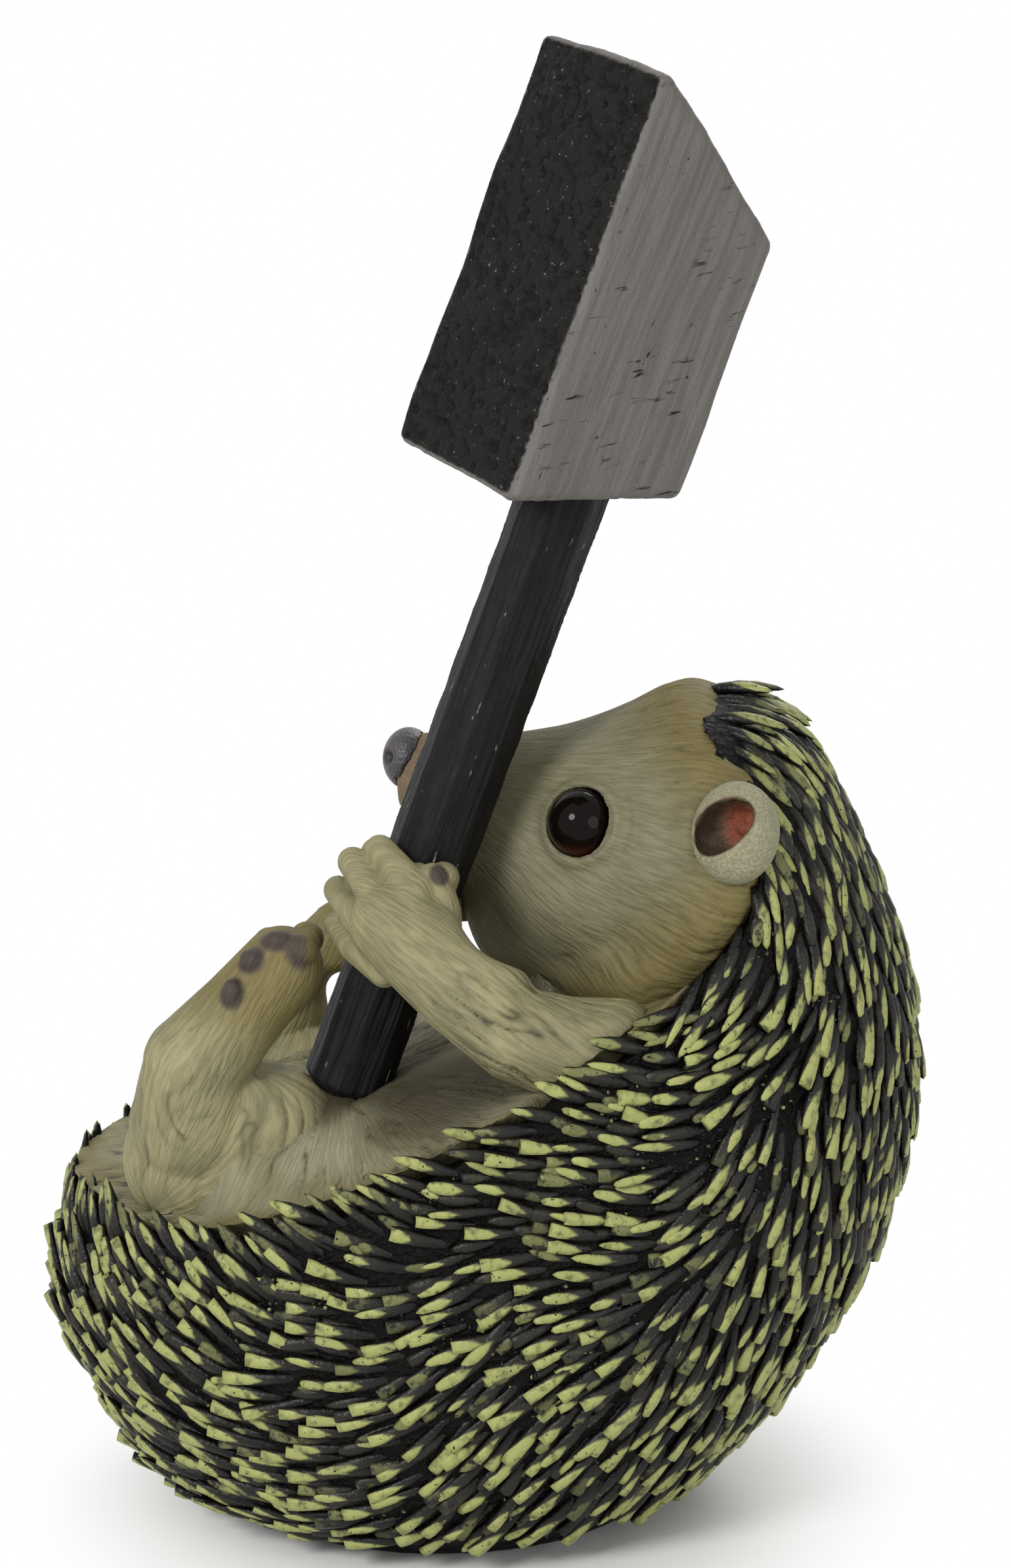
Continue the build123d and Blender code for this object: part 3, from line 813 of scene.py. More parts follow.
class HEDGEHOG_OT_coat_skin(bpy.types.Operator):
    """Dark gritty skin of the coat, between and under the quills"""
    bl_idname = "hedgehog.coat_skin"
    bl_label = "Coat skin"

    def execute(self, context):
        mesh = voxel_skin(cut_with(coat_body(), plug_seat()), "coat_skin", SKIN_VOXEL * MM)
        relax(mesh, 2)
        points = points_of(mesh)
        grain = rounds(points / (SKIN_GRAIN * MM), SKIN_SEED, 2)
        lowered = smooth_step(points[:, 2], *millimetres(SKIN_SINK_START))
        raise_points(mesh, (grain * SKIN_RELIEF - SKIN_SINK) * MM * lowered)
        add_piece("coat_skin", mesh, gritty_skin(context.scene.hedgehog_colours), "quills",
                  "quill_coat")
        return {"FINISHED"}


# Quill outlines as radius and distance along, in shares of half width and length
QUILL_OUTLINES = {
    "pointed": [(0, 0), (0.5, 0.03), (0.85, 0.2), (1, 0.45), (0.86, 0.7), (0.45, 0.92), (0, 1)],
    "oval": [(0, 0), (0.5, 0.05), (0.85, 0.2), (1, 0.5), (0.92, 0.78), (0.55, 0.96), (0, 1)],
    "blunt": [(0, 0), (0.5, 0.03), (0.78, 0.2), (0.9, 0.5), (1, 0.88), (0.9, 1), (0, 0.975)],
}
# Kinds of quill below and above a height in mm, each with the draw up to which it is taken
KIND_HEIGHT = 60.0
LOW_KINDS = (("blunt", 0.62), ("oval", 0.8), ("pointed", 1.0))
HIGH_KINDS = (("oval", 0.55), ("pointed", 0.85), ("blunt", 1.0))
QUILL_SIDES = 8
QUILL_SEED = 7
# Points of a quill's outline nearer than this, in its own shares, are merged
MERGE_SHARE = 0.001
# Rows of places over the coat: the first one's share of a row, the least count and height in mm
FIRST_ROW = 0.6
LEAST_IN_ROW = 3
LOWEST_PLACE = 0.5
# Distance between the places that are tried, and ranges that a quill's own values are drawn from:
# lift off the coat in degrees, shares of the mean length and width, depth of its root and how far
# its tip may stand out past the rim in mm
PLACE_PITCH = 1.5
QUILL_LIFT = (9, 14)
LENGTH_SHARES = (0.78, 1.12)
WIDTH_SHARES = (0.8, 1.2)
ROOT_DEPTHS = (1.5, 2.0)
OVERHANGS = (0.0, 4.4)
# Height in mm that every tip stays above, and a quill's thickness as a share of its width
LOWEST_TIP = 2.0
FLATNESS = 0.85
# Spread of a quill's turn to one side, in radians, and of its sideways bend
TURN_SPREAD = 0.13
SIDE_BEND_SPREAD = 2.0
# Downward bend of a quill, what the crown adds to it, and the heights between which the crown starts
BEND = 8.0
CROWN_BEND = 15.0
CROWN_HEIGHTS = (96.0, 118.0)
# Height in mm from which a quill is the hood's
HOOD_START = 78.0
# Fringe along the rim, by distances from it in mm: quills whose tips reach past the first from roots
# past the second, or whose roots lie past the third, and how far apart they lie
FRINGE_TIP = 0.5
FRINGE_ROOT = -9.0
FRINGE_EDGE = -2.0
FRINGE_STEP = 2.8
FRINGE_GAP_SHARE = 0.85
# Quills under the others, as shares of the step, the gap and the length of those
UNDER_STEP_SHARE = 0.66
UNDER_GAP_SHARE = 0.78
UNDER_LENGTH_SHARE = 0.72
# Quills at the rim, by the distance of tip or root from it in mm, are pointed and patchy in paint
RIM_TIP = -3.0
RIM_ROOT = -5.0
# Where paint starts along a quill, and how much sooner it does at the crown
PAINT_STARTS = (0.36, 0.62)
CROWN_PAINT = 0.2
# How well paint covers a quill at the rim, in the open coat and under the others
RIM_COVER = (0.3, 1.0)
COAT_COVER = (0.8, 1.0)
UNDER_COVER = (0.0, 0.5)
# How far up the two ends of a quill face, which lie within a radius of its middle line
TIP_FACING = 0.8
MIDDLE_RADIUS = 0.01
# Painted shade of a quill, at its root and on its underside: where along it that fades out, and how
# strong it is underneath
ROOT_SHADE = (0.35, 0.1)
UNDERSIDE = (0.1, -0.8)
UNDERSIDE_SHADE = 0.85


def spun(profile, sides):
    """Closed round shape about Z from points of radius and height that start and end on Z."""
    bm = bmesh.new()
    verts = [bm.verts.new((radius, 0, height)) for radius, height in profile]
    edges = [bm.edges.new(pair) for pair in zip(verts, verts[1:])]
    bmesh.ops.spin(bm, geom=verts + edges, cent=(0, 0, 0), axis=(0, 0, 1),
                   angle=2 * math.pi, steps=sides, use_merge=True)
    bmesh.ops.remove_doubles(bm, verts=bm.verts, dist=MERGE_SHARE)
    bmesh.ops.recalc_face_normals(bm, faces=bm.faces)
    return mesh_of(bm, "spun")


def coat_places(chance):
    """Heights and turns of jittered places over the coat, about PLACE_PITCH apart."""
    pitch = PLACE_PITCH * MM
    slope = np.hypot(np.diff(RINGS[:, 0]), np.diff((RINGS[:, 2] + RINGS[:, 3]) / 2))
    run = np.concatenate([[0], np.cumsum(slope)])
    heights, turns = [], []
    for distance in np.arange(pitch * FIRST_ROW, run[-1], pitch):
        height = np.interp(distance, run, RINGS[:, 0])
        half_length, half_width = ring_at(height)[1:]
        girth = 2 * math.pi * math.hypot(half_length, half_width) / math.sqrt(2)
        count = max(round(girth / pitch), LEAST_IN_ROW)
        turns.append(2 * math.pi * (np.arange(count) + chance.uniform(0, 1, count)) / count)
        heights.append(height + chance.uniform(-0.5, 0.5, count) * pitch)
    heights = np.clip(np.concatenate(heights), LOWEST_PLACE * MM, RINGS[-1, 0])
    return heights, np.concatenate(turns)


def quill_guesses(sizes, chance):
    """Many more places for quills than there is room for, with a quill's data at each."""
    heights, turns = coat_places(chance)
    points, normals = coat_point(heights, turns), coat_normal(heights, turns)
    flow = quill_flow(points, normals)
    count = len(points)
    across = np.cross(flow, normals)
    yaw = chance.normal(0, TURN_SPREAD, count)[:, None]
    lift = np.radians(chance.uniform(*QUILL_LIFT, count))[:, None]
    leaning = flow * np.cos(yaw) + across * np.sin(yaw)
    along = leaning * np.cos(lift) + normals * np.sin(lift)
    sideways = np.cross(along, normals)
    sideways /= np.linalg.norm(sideways, axis=1)[:, None]
    length = sizes.quill_length * chance.uniform(*LENGTH_SHARES, count)
    crown = smooth_step(heights, *millimetres(CROWN_HEIGHTS))
    tips = points + along * length[:, None]
    guesses = {
        "points": points, "normals": normals, "flow": flow, "across": across, "along": along,
        "sideways": sideways, "up": np.cross(sideways, along), "length": length, "crown": crown,
        "bend": BEND + CROWN_BEND * crown, "side_bend": chance.normal(0, SIDE_BEND_SPREAD, count),
        "half": sizes.quill_width / 2 * chance.uniform(*WIDTH_SHARES, count),
        "sink": chance.uniform(*ROOT_DEPTHS, count) * MM,
        "root_gap": rim_distance(points), "tip_gap": rim_distance(tips),
    }
    overhang = chance.uniform(*OVERHANGS, count) * MM
    fits = tips[:, 2] > LOWEST_TIP * MM
    fits &= (guesses["root_gap"] < 0) & (guesses["tip_gap"] < overhang)
    return {key: value[fits] for key, value in guesses.items()}


def room_for(guesses, order, kept, step, gap):
    """Adds to kept each guess in order that no kept quill lies nearer to than step and gap."""
    span = np.array((step, gap, step))
    for i in order:
        offset = guesses["points"][kept] - guesses["points"][i]
        axes = np.stack([guesses[key][i] for key in ("flow", "across", "normals")], axis=1)
        if not np.any(np.linalg.norm(offset @ axes / span, axis=1) < 1):
            kept.append(i)
    return kept


def lay_quills(kinds, guesses, kept, chance, under):
    """Mesh with the quills that were kept, and its masks for the paint."""
    bm = bmesh.new()
    places, paints, levels, shades = [], [], [], []
    for i in kept:
        one = {key: value[i] for key, value in guesses.items()}
        at_rim = one["tip_gap"] > RIM_TIP * MM or one["root_gap"] > RIM_ROOT * MM
        draw = chance.random()
        ranked = LOW_KINDS if one["points"][2] < KIND_HEIGHT * MM else HIGH_KINDS
        kind = next(kind for kind, last in ranked if draw < last)
        mesh, shape = kinds["pointed" if at_rim or one["crown"] > 0.5 else kind]
        bm.from_mesh(mesh)
        sideways, upward, ahead = shape.T
        reach = ahead * one["length"] * (UNDER_LENGTH_SHARE if under else 1)
        aside = sideways * one["half"] + one["side_bend"] * reach ** 2
        above = upward * one["half"] * FLATNESS - one["bend"] * reach ** 2
        places.append(one["points"] - one["normals"] * one["sink"] + np.outer(aside, one["sideways"])
                      + np.outer(above, one["up"]) + np.outer(reach, one["along"]))
        off_middle = np.hypot(sideways, upward)
        facing = np.where(off_middle > MIDDLE_RADIUS, upward / np.maximum(off_middle, MIDDLE_RADIUS),
                          TIP_FACING)
        start = chance.uniform(*PAINT_STARTS) - CROWN_PAINT * one["crown"]
        paints.append(ahead - start - (1 - facing) / 2)
        cover = UNDER_COVER if under else RIM_COVER if at_rim else COAT_COVER
        levels.append(np.full(len(ahead), chance.uniform(*cover)))
        # Painted shade at the root and on the underside of each quill
        shades.append(np.maximum(smooth_step(ahead, *ROOT_SHADE),
                                 UNDERSIDE_SHADE * smooth_step(facing, *UNDERSIDE)))
    mesh = mesh_of(bm, "quills")
    move_points(mesh, np.vstack(places))
    for name, parts in (("paint", paints), ("brushed", levels), ("shade", shades)):
        keep_mask(mesh, name, np.concatenate(parts))
    mesh.shade_smooth()
    return mesh


class HEDGEHOG_OT_quills(bpy.types.Operator):
    """Quills that lie back over the coat, pale at their outer ends"""
    bl_idname = "hedgehog.quills"
    bl_label = "Quills"

    def execute(self, context):
        sizes = context.scene.hedgehog_sizes
        step, gap = sizes.quill_step, sizes.quill_gap
        chance = np.random.default_rng(QUILL_SEED)
        meshes = {kind: spun(profile, QUILL_SIDES) for kind, profile in QUILL_OUTLINES.items()}
        kinds = {kind: (mesh, points_of(mesh)) for kind, mesh in meshes.items()}
        paint = painted_quills(context.scene.hedgehog_colours)
        guesses = quill_guesses(sizes, chance)
        root_gap, tip_gap = guesses["root_gap"], guesses["tip_gap"]
        order = chance.permutation(len(tip_gap))
        fringe = (tip_gap > FRINGE_TIP * MM) & (root_gap > FRINGE_ROOT * MM)
        fringe |= root_gap > FRINGE_EDGE * MM
        rim = room_for(guesses, order[fringe[order]], [], FRINGE_STEP * MM, gap * FRINGE_GAP_SHARE)
        every = room_for(guesses, order[~fringe[order]], list(rim), step, gap)
        full = room_for(guesses, order, list(every), step * UNDER_STEP_SHARE,
                        gap * UNDER_GAP_SHARE)
        rest = np.array(every[len(rim):])
        high = guesses["points"][rest, 2] > HOOD_START * MM
        for name, kept, under in (
                ("rim_quills", rim, False), ("hood_quills", rest[high], False),
                ("coat_quills", rest[~high], False), ("under_quills", full[len(every):], True)):
            add_piece(name, lay_quills(kinds, guesses, kept, chance, under), paint, "quills")
        return {"FINISHED"}


# Grit: size of its patches in mm and the noise above which one lies, heights and distance from the
# rim between which there is any, heights over the coat's outside, and shares of the largest grain
GRIT_PATCH = 11.0
GRIT_LEVEL = 0.42
GRIT_HEIGHTS = (4.0, 105.0)
GRIT_FROM_RIM = -3.0
GRIT_OVER_COAT = (-1.1, -0.3)
GRAIN_SHARES = (0.4, 1.0)
GRAIN_PAINT = 0.8
GRIT_SEED = 11
GRIT_PATCH_SEED = 31


class HEDGEHOG_OT_grit(bpy.types.Operator):
    """Grains of grit caught between the quills"""
    bl_idname = "hedgehog.grit"
    bl_label = "Grit"

    def execute(self, context):
        chance = np.random.default_rng(GRIT_SEED)
        heights, turns = coat_places(chance)
        points, normals = coat_point(heights, turns), coat_normal(heights, turns)
        low, high = millimetres(GRIT_HEIGHTS)
        wanted = rounds(points / (GRIT_PATCH * MM), GRIT_PATCH_SEED, 2) > GRIT_LEVEL
        wanted &= (rim_distance(points) < GRIT_FROM_RIM * MM) & (heights > low) & (heights < high)
        grain = bmesh.new()
        bmesh.ops.create_icosphere(grain, subdivisions=1, radius=1)
        template = mesh_of(grain, "grain")
        shape = points_of(template)
        bm = bmesh.new()
        places, paints = [], []
        for point, normal in zip(points[wanted], normals[wanted]):
            bm.from_mesh(template)
            radii = context.scene.hedgehog_sizes.grit_size / 2 * chance.uniform(*GRAIN_SHARES, 3)
            height = chance.uniform(*GRIT_OVER_COAT) * MM
            places.append(point + normal * height + shape * radii)
            paints.append(np.full(len(shape), GRAIN_PAINT * chance.uniform(0, 1) ** 4))
        mesh = mesh_of(bm, "coat_grit")
        move_points(mesh, np.vstack(places))
        keep_mask(mesh, "paint", np.concatenate(paints))
        add_piece("coat_grit", mesh, grit_paint(context.scene.hedgehog_colours), "quills")
        return {"FINISHED"}


# Belly, in mm. Place on each haunch, as X and distance from the middle, and its reach
HAUNCH = (-38.5, 25.0)
HAUNCH_REACH = 15.0
# Heights over the rim between which the haunch starts, and the belly's edge reaches the coat
HAUNCH_START = (2.0, 5.0)
EDGE_START = (-5.0, -1.8)
# Shares of the way out to the coat's outside: where the edge's spread starts and ends, how much it
# adds, the most it reaches, and where the edge starts to fall to the rim beside and on a haunch
SPREAD_SHARES = (0.55, 0.9)
SPREAD_GAIN = 0.115
EDGE_SHARE = 0.985
FALL_SHARE = 0.62
HAUNCH_FALL = 0.3
EDGE_OVER_RIM = 0.6
BELLY_VOXEL = 0.5
BELLY_SEED = 21
# Fur that narrows the gap between shoulder, cheek and coat, as a ball with middle and radii
SHOULDER_FILL = ((34.0, 28.5, 80.5), (11.0, 9.5, 9.5))
# Middle, radii and height of what swells out or sinks in
BELLY_SWELLS = (
    (STICK_FOOT, (10, 10, 8), 2.0),
    ((16.0, -18.0, 88.0), (12, 12, 10), -4.5), ((16.0, 18.0, 88.0), (12, 12, 10), -4.5),
)
# Middle of the painted shade under the near arm, in mm
ARMPIT = (-2.0, -27.0, 74.0)
# Paint of the belly, as strength and the distances between which it sets in: tan on the shoulder's
# fur, shade round the stick's foot and in the armpit; the tan along the rim sets in over shares of
# the way out to the coat, and has patches with a mean, a spread, a size and a seed
FILL_TAN = (0.8, 16, 11)
STICK_SHADE = (0.8, 13, 6)
ARMPIT_SHADE = (0.75, 22, 6)
RIM_TAN_SHARES = (0.8, 0.99)
RIM_TAN = 0.5
RIM_TAN_SPREAD = 0.3
RIM_TAN_PATCH = 8.0
RIM_TAN_SEED = 5
# Creases that are darkened, as steps of smoothing and full depth, and the strength of their shade
BELLY_CREASES = (12, 0.7 * MM)
BELLY_CREASE_SHADE = 0.5
# Radius at which the paint's fine hairs are laid, and how much less they change along the fur
BELLY_HAIRS = 30
HAIR_SLOWNESS = 0.12


def belly_lanes(points):
    """Turn round the stick's foot, which the fur of belly and haunches spreads from, and distance."""
    offset = points - STICK_FOOT * MM
    return np.arctan2(offset[:, 1], offset[:, 0]), np.hypot(offset[:, 0], offset[:, 1])


def strand_places(turn, run, radius):
    """Places for the fine hairs of the paint, which run along the fur, for a radius in mm."""
    return np.stack([np.cos(turn) * radius * MM, np.sin(turn) * radius * MM, run * HAIR_SLOWNESS],
                    axis=1)


def swell_all(mesh, swells, side=1):
    """Swells a skin at each place of a list, on one side of the body."""
    for centre, radii, height in swells:
        swell(mesh, np.array(centre) * (1, side, 1), radii, height)


class HEDGEHOG_OT_belly(bpy.types.Operator):
    """Furred belly that fills the coat up to its rim"""
    bl_idname = "hedgehog.belly"
    bl_label = "Belly"

    def execute(self, context):
        sizes = context.scene.hedgehog_sizes
        colours = context.scene.hedgehog_colours
        bm = node_shape("belly")
        centre, radii = SHOULDER_FILL
        for side in (LEFT, RIGHT):
            add_ball(bm, np.array(centre) * (1, side, 1), radii)
        mesh = voxel_skin(bm, "belly_fur", BELLY_VOXEL * MM)
        relax(mesh, 2)
        self.close_to_rim(mesh)
        relax(mesh, 6)
        swell_all(mesh, BELLY_SWELLS)
        relax(mesh, 4)
        points = points_of(mesh)
        turn, radius = belly_lanes(points)
        keep_mask(mesh, "groove", carve_fur(
            mesh, turn, radius, radius, sizes.lock_spacing, sizes.hair_spacing, sizes.lock_depth,
            BELLY_SEED))
        from_fill = far_from(np.abs(points), centre)
        fill = np.where(points[:, 0] > 0, fading(from_fill, *FILL_TAN), 0)
        patches = rounds(points / (RIM_TAN_PATCH * MM), RIM_TAN_SEED)
        along_rim = RIM_TAN + RIM_TAN_SPREAD * patches
        along_rim *= smooth_step(coat_share(points), *RIM_TAN_SHARES)
        keep_mask(mesh, "tan", np.maximum(fill, along_rim))
        # Painted shade round the stick's foot, in creases and under the near arm
        keep_mask(mesh, "shade", np.maximum.reduce([
            fading(radius, *STICK_SHADE), BELLY_CREASE_SHADE * creases(mesh, *BELLY_CREASES),
            fading(far_from(points, ARMPIT), *ARMPIT_SHADE)]))
        keep_vectors(mesh, "strand", strand_places(turn, radius, BELLY_HAIRS))
        add_piece("belly_fur", mesh, painted_fur(
            "painted_resin_belly_fur", colours, colours.fur, colours.fur_pale), "fur", "belly")
        return {"FINISHED"}

    def close_to_rim(self, mesh):
        """Spreads the belly's upper edge out to the coat's rim and lowers it onto the rim."""
        points = points_of(mesh)
        share = coat_share(points)
        above = points[:, 2] - np.interp(points[:, 0], *LOW_RIM.T)
        at_top = smooth_step(above, *millimetres(EDGE_START))
        spot = np.stack([points[:, 0] / MM - HAUNCH[0], np.abs(points[:, 1]) / MM - HAUNCH[1]])
        haunch = np.exp(-np.sum(spot ** 2, axis=0) / HAUNCH_REACH ** 2)
        haunch *= smooth_step(above, *millimetres(HAUNCH_START))
        outer = smooth_step(share, *SPREAD_SHARES) * (1 - haunch)
        spread_share = share + at_top * outer * SPREAD_GAIN
        spread_share = np.minimum(spread_share, np.maximum(share, EDGE_SHARE))
        to_middle(points, spread_share / np.maximum(share, LEAST_SHARE))
        start = FALL_SHARE + HAUNCH_FALL * haunch
        fall = smooth_step((coat_share(points) - start) / (EDGE_SHARE - start), 0, 1)
        edge = np.interp(points[:, 0], *LOW_RIM.T) + EDGE_OVER_RIM * MM
        points[:, 2] += at_top * fall * (edge - points[:, 2])
        move_points(mesh, points)


# Head, in mm. Line that the fur of the face runs along, and the way that an eye looks
NOSE_TIP = (-14.0, 0.0, 118.0)
NAPE = (45.0, 0.0, 103.0)
EYE_AXIS = (-0.12, 0.95, 0.28)
# Ruff that flares towards the coat: distances from the rim over which it grows and ends, the height
# of the line it flares from, its size, and the directions over which it gets lower at the crown
RUFF_GROWS = (11.0, 0.5)
RUFF_ENDS = (-3.0, -0.5)
RUFF_MIDDLE = 104.0
RUFF_HEIGHT = 4.4
CROWN_DIRECTIONS = (0.5, 0.95)
CROWN_LOSS = 0.7
# Rings round the eye, as distance, width and height, the reach and depth of its socket, and the
# heights along its axis between which all of them set in
LID = (5.9, 0.8, 0.75)
LID_GROOVE = (7.7, 0.7, -0.3)
SOCKET_REACH = (13.0, 5.0)
SOCKET_DEPTH = 0.6
ON_FACE = (1, -3, 0)
# What swells on each side of the head (brow, cheek, jaw, hollow behind the ear and ear's root), and
# on its underside
SIDE_SWELLS = (
    ((14.0, 14.0, 122.0), (12, 9, 6), 1.2), ((12.0, 19.0, 98.0), (14, 9, 12), 1.8),
    ((20.0, 26.0, 88.0), (16, 11, 10), 4.6), ((40.5, 26.0, 114.0), (7, 8, 8), -4.0),
    ((34.0, 24.5, 113.0), (4, 6, 7), 1.6),
)
THROAT_SWELLS = (((3.0, 0.0, 89.0), (12, 19, 10), 2.6),)
FACE_LOCK = 1.0
FACE_HAIR = 0.55
# Distances from the nose over which the fur gets its depth, and the share that it has before that
FACE_FADE = (1, 5, 16)
SNOUT_DEPTH = 0.25
# What the ruff adds, as strength and distances from the rim: depth of the fur, dark wash and tan
RUFF_DEPTH = (0.25 * MM, 16, 2)
RUFF_WASH = (0.4, 18, 3)
RUFF_TAN = (0.8, 17, 2)
SNOUT_WASH = 0.08
FACE_WASH = 0.2
MUZZLE_PINK = (0.35, 22, 4)
HEAD_CREASES = (8, 0.5 * MM)
HEAD_CREASE_SHADE = 0.5
HEAD_HAIRS = 22
HEAD_SEED = 77
HEAD_SWAY = 0.8


class HEDGEHOG_OT_head(bpy.types.Operator):
    """Furred head with lids round its eyes and a ruff that meets the hood of the coat"""
    bl_idname = "hedgehog.head"
    bl_label = "Head"

    def execute(self, context):
        sizes = context.scene.hedgehog_sizes
        colours = context.scene.hedgehog_colours
        mesh = voxel_skin(node_shape("head"), "head_fur", sizes.fur_voxel)
        relax(mesh, 3)
        self.flare_ruff(mesh)
        relax(mesh, 3)
        for side, word in SIDES:
            self.shape_eye(mesh, side, word + "eye")
            swell_all(mesh, SIDE_SWELLS, side)
        swell_all(mesh, THROAT_SWELLS)
        relax(mesh, 2)
        points = points_of(mesh)
        turn, run, radius = round_axis(points, NOSE_TIP, NAPE)
        fade = fading(run, *FACE_FADE)
        ahead = rim_distance(points)
        depth = sizes.face_depth * (SNOUT_DEPTH + (1 - SNOUT_DEPTH) * fade)
        depth += fading(ahead, *RUFF_DEPTH)
        groove = carve_fur(mesh, turn, run, radius, FACE_LOCK * MM, FACE_HAIR * MM, depth, HEAD_SEED,
                           HEAD_SWAY)
        wash = SNOUT_WASH + FACE_WASH * fade + fading(ahead, *RUFF_WASH)
        keep_mask(mesh, "groove", groove * wash)
        # Painted shade in the creases of the head
        keep_mask(mesh, "shade", HEAD_CREASE_SHADE * creases(mesh, *HEAD_CREASES))
        keep_mask(mesh, "tan", fading(ahead, *RUFF_TAN))
        keep_mask(mesh, "pink", fading(run, *MUZZLE_PINK))
        keep_vectors(mesh, "strand", strand_places(turn, run, HEAD_HAIRS))
        add_piece("head_fur", mesh, painted_fur(
            "painted_resin_head_fur", colours, colours.face, colours.face_pale), "fur", "head")
        return {"FINISHED"}

    def flare_ruff(self, mesh):
        """Flares the fur of the head out towards the coat, less at the crown than at the sides."""
        points = points_of(mesh)
        ahead = rim_distance(points)
        flare = smooth_step(ahead, *millimetres(RUFF_GROWS))
        flare *= smooth_step(ahead, *millimetres(RUFF_ENDS))
        outward = points * (0, 1, 1) - np.array((0, 0, RUFF_MIDDLE)) * MM
        outward /= np.maximum(np.linalg.norm(outward, axis=1), LEAST_LENGTH)[:, None]
        flare *= 1 - CROWN_LOSS * smooth_step(outward[:, 2], *CROWN_DIRECTIONS)
        move_points(mesh, points + outward * (flare * RUFF_HEIGHT * MM)[:, None])

    def shape_eye(self, mesh, side, eye):
        """Raises a lid round an eye, with a groove round it, and sinks the socket."""
        low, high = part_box(eye)
        axis = np.array(EYE_AXIS) * (1, side, 1)
        axis /= np.linalg.norm(axis)
        offset = points_of(mesh) - np.array((low + high) / 2)
        height = offset @ axis
        far = np.linalg.norm(offset - height[:, None] * axis, axis=1) / MM
        rings = sum(rise * np.exp(-((far - at) / width) ** 2) for at, width, rise in (LID, LID_GROOVE))
        socket = SOCKET_DEPTH * smooth_step(far, *SOCKET_REACH)
        raise_points(mesh, (rings - socket) * fading(height, *ON_FACE) * MM)


# Faces round an eye and from pole to pole, and how far below its middle its painted glow of light sets
# in, in mm
EYE_ROUND = 64
EYE_RINGS = 40
PAINTED_GLOW_START = 1.0


class HEDGEHOG_OT_eyes(bpy.types.Operator):
    """Glass eyes"""
    bl_idname = "hedgehog.eyes"
    bl_label = "Eyes"

    def execute(self, context):
        glass = eye_glass(context.scene.hedgehog_colours)
        for _, word in SIDES:
            name = word + "eye"
            low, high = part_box(name)
            middle = (low + high) / 2
            bm = bmesh.new()
            bmesh.ops.create_uvsphere(
                bm, u_segments=EYE_ROUND, v_segments=EYE_RINGS, radius=(high.z - low.z) / 2,
                matrix=Matrix.Translation(middle))
            mesh = mesh_of(bm, name)
            heights = points_of(mesh)[:, 2]
            # Painted glow of light through the glass, brown at the lower edge
            keep_mask(mesh, "glow", smooth_step(heights, middle.z - PAINTED_GLOW_START * MM, low.z))
            mesh.shade_smooth()
            add_piece(name + "_glass", mesh, glass, "eyes", name)
        return {"FINISHED"}


# Nostril, in mm: its place from the middle of the nose, its radii and depth, and the reach of its
# shade, and the groove between the nostrils: how far below the middle it lies, its radii and depth
NOSTRIL = (-1.6, 2.7, 0.6)
NOSTRIL_RADII = (1.7, 1.9, 1.5)
NOSTRIL_DEPTH = 1.3
NOSTRIL_SHADE = (1.7, 0.9)
CLEFT_DROP = 2.0
CLEFT_RADII = (2.5, 0.6, 3.5)
CLEFT_DEPTH = 0.5
NOSE_VOXEL = 0.3


class HEDGEHOG_OT_nose(bpy.types.Operator):
    """Nose pad with its nostrils"""
    bl_idname = "hedgehog.nose"
    bl_label = "Nose"

    def execute(self, context):
        mesh = voxel_skin(node_shape("nose"), "nose_pad", NOSE_VOXEL * MM)
        relax(mesh, 3)
        low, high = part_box("nose")
        middle = (low + high) / 2 / MM
        shade = np.zeros(len(mesh.vertices))
        for side in (LEFT, RIGHT):
            nostril = np.array((middle.x, 0, middle.z)) + np.array(NOSTRIL) * (1, side, 1)
            swell(mesh, nostril, NOSTRIL_RADII, -NOSTRIL_DEPTH)
            shade += smooth_step(far_from(points_of(mesh), nostril), *millimetres(NOSTRIL_SHADE))
        swell(mesh, (low.x / MM, 0, middle.z - CLEFT_DROP), CLEFT_RADII, -CLEFT_DEPTH)
        # Painted shade in the nostrils
        keep_mask(mesh, "shade", shade)
        add_piece("nose_pad", mesh, nose_paint(context.scene.hedgehog_colours), "nose", "nose")
        return {"FINISHED"}


# Ear, in mm: the way it opens, its radii along that, across and upright, and those of its cup,
# which is turned in degrees, and the lump of fur in the cup, as place, radii and height
EAR_OPENING = (-0.42, 0.88, 0.22)
EAR_CENTRE = (40.8, 27.0, 114.0)
EAR_RADII = (5.2, 6.7, 7.6)
CUP_RADII = (4.6, 3.6, 5.2)
CUP_SHIFT = (3.2, 0.3, 0.7)
CUP_TURN = 50.0
CUP_LUMP = ((-3.8, -1.5, 0.4), (2.6, 2.2, 2.4), 1.3)
CUP_GRAIN = 2.2
CUP_RELIEF = 0.5
CUP_SEED = 40
EAR_VOXEL = 0.25
# Reach of the cup's relief and of its paint, in shares of its radii
CUP_RELIEF_REACH = (1.3, 1.0)
CUP_PAINT_REACH = (1.14, 1.0)
# Paint in the cup, in strengths and distances from the lump: pink all over and on the lump, shade
# all over and round the lump; tan on the ear's back, and shade in the creases outside
CUP_PINK = 0.6
LUMP_PINK = (0.4, 4.5, 2.0)
CUP_SHADE = 0.15
LUMP_SHADE = (0.65, 2.2, 5.0)
EAR_BACK_TAN = (0.4, -5, -8)
EAR_CREASES = (8, 0.4 * MM)
EAR_CREASE_SHADE = 0.3


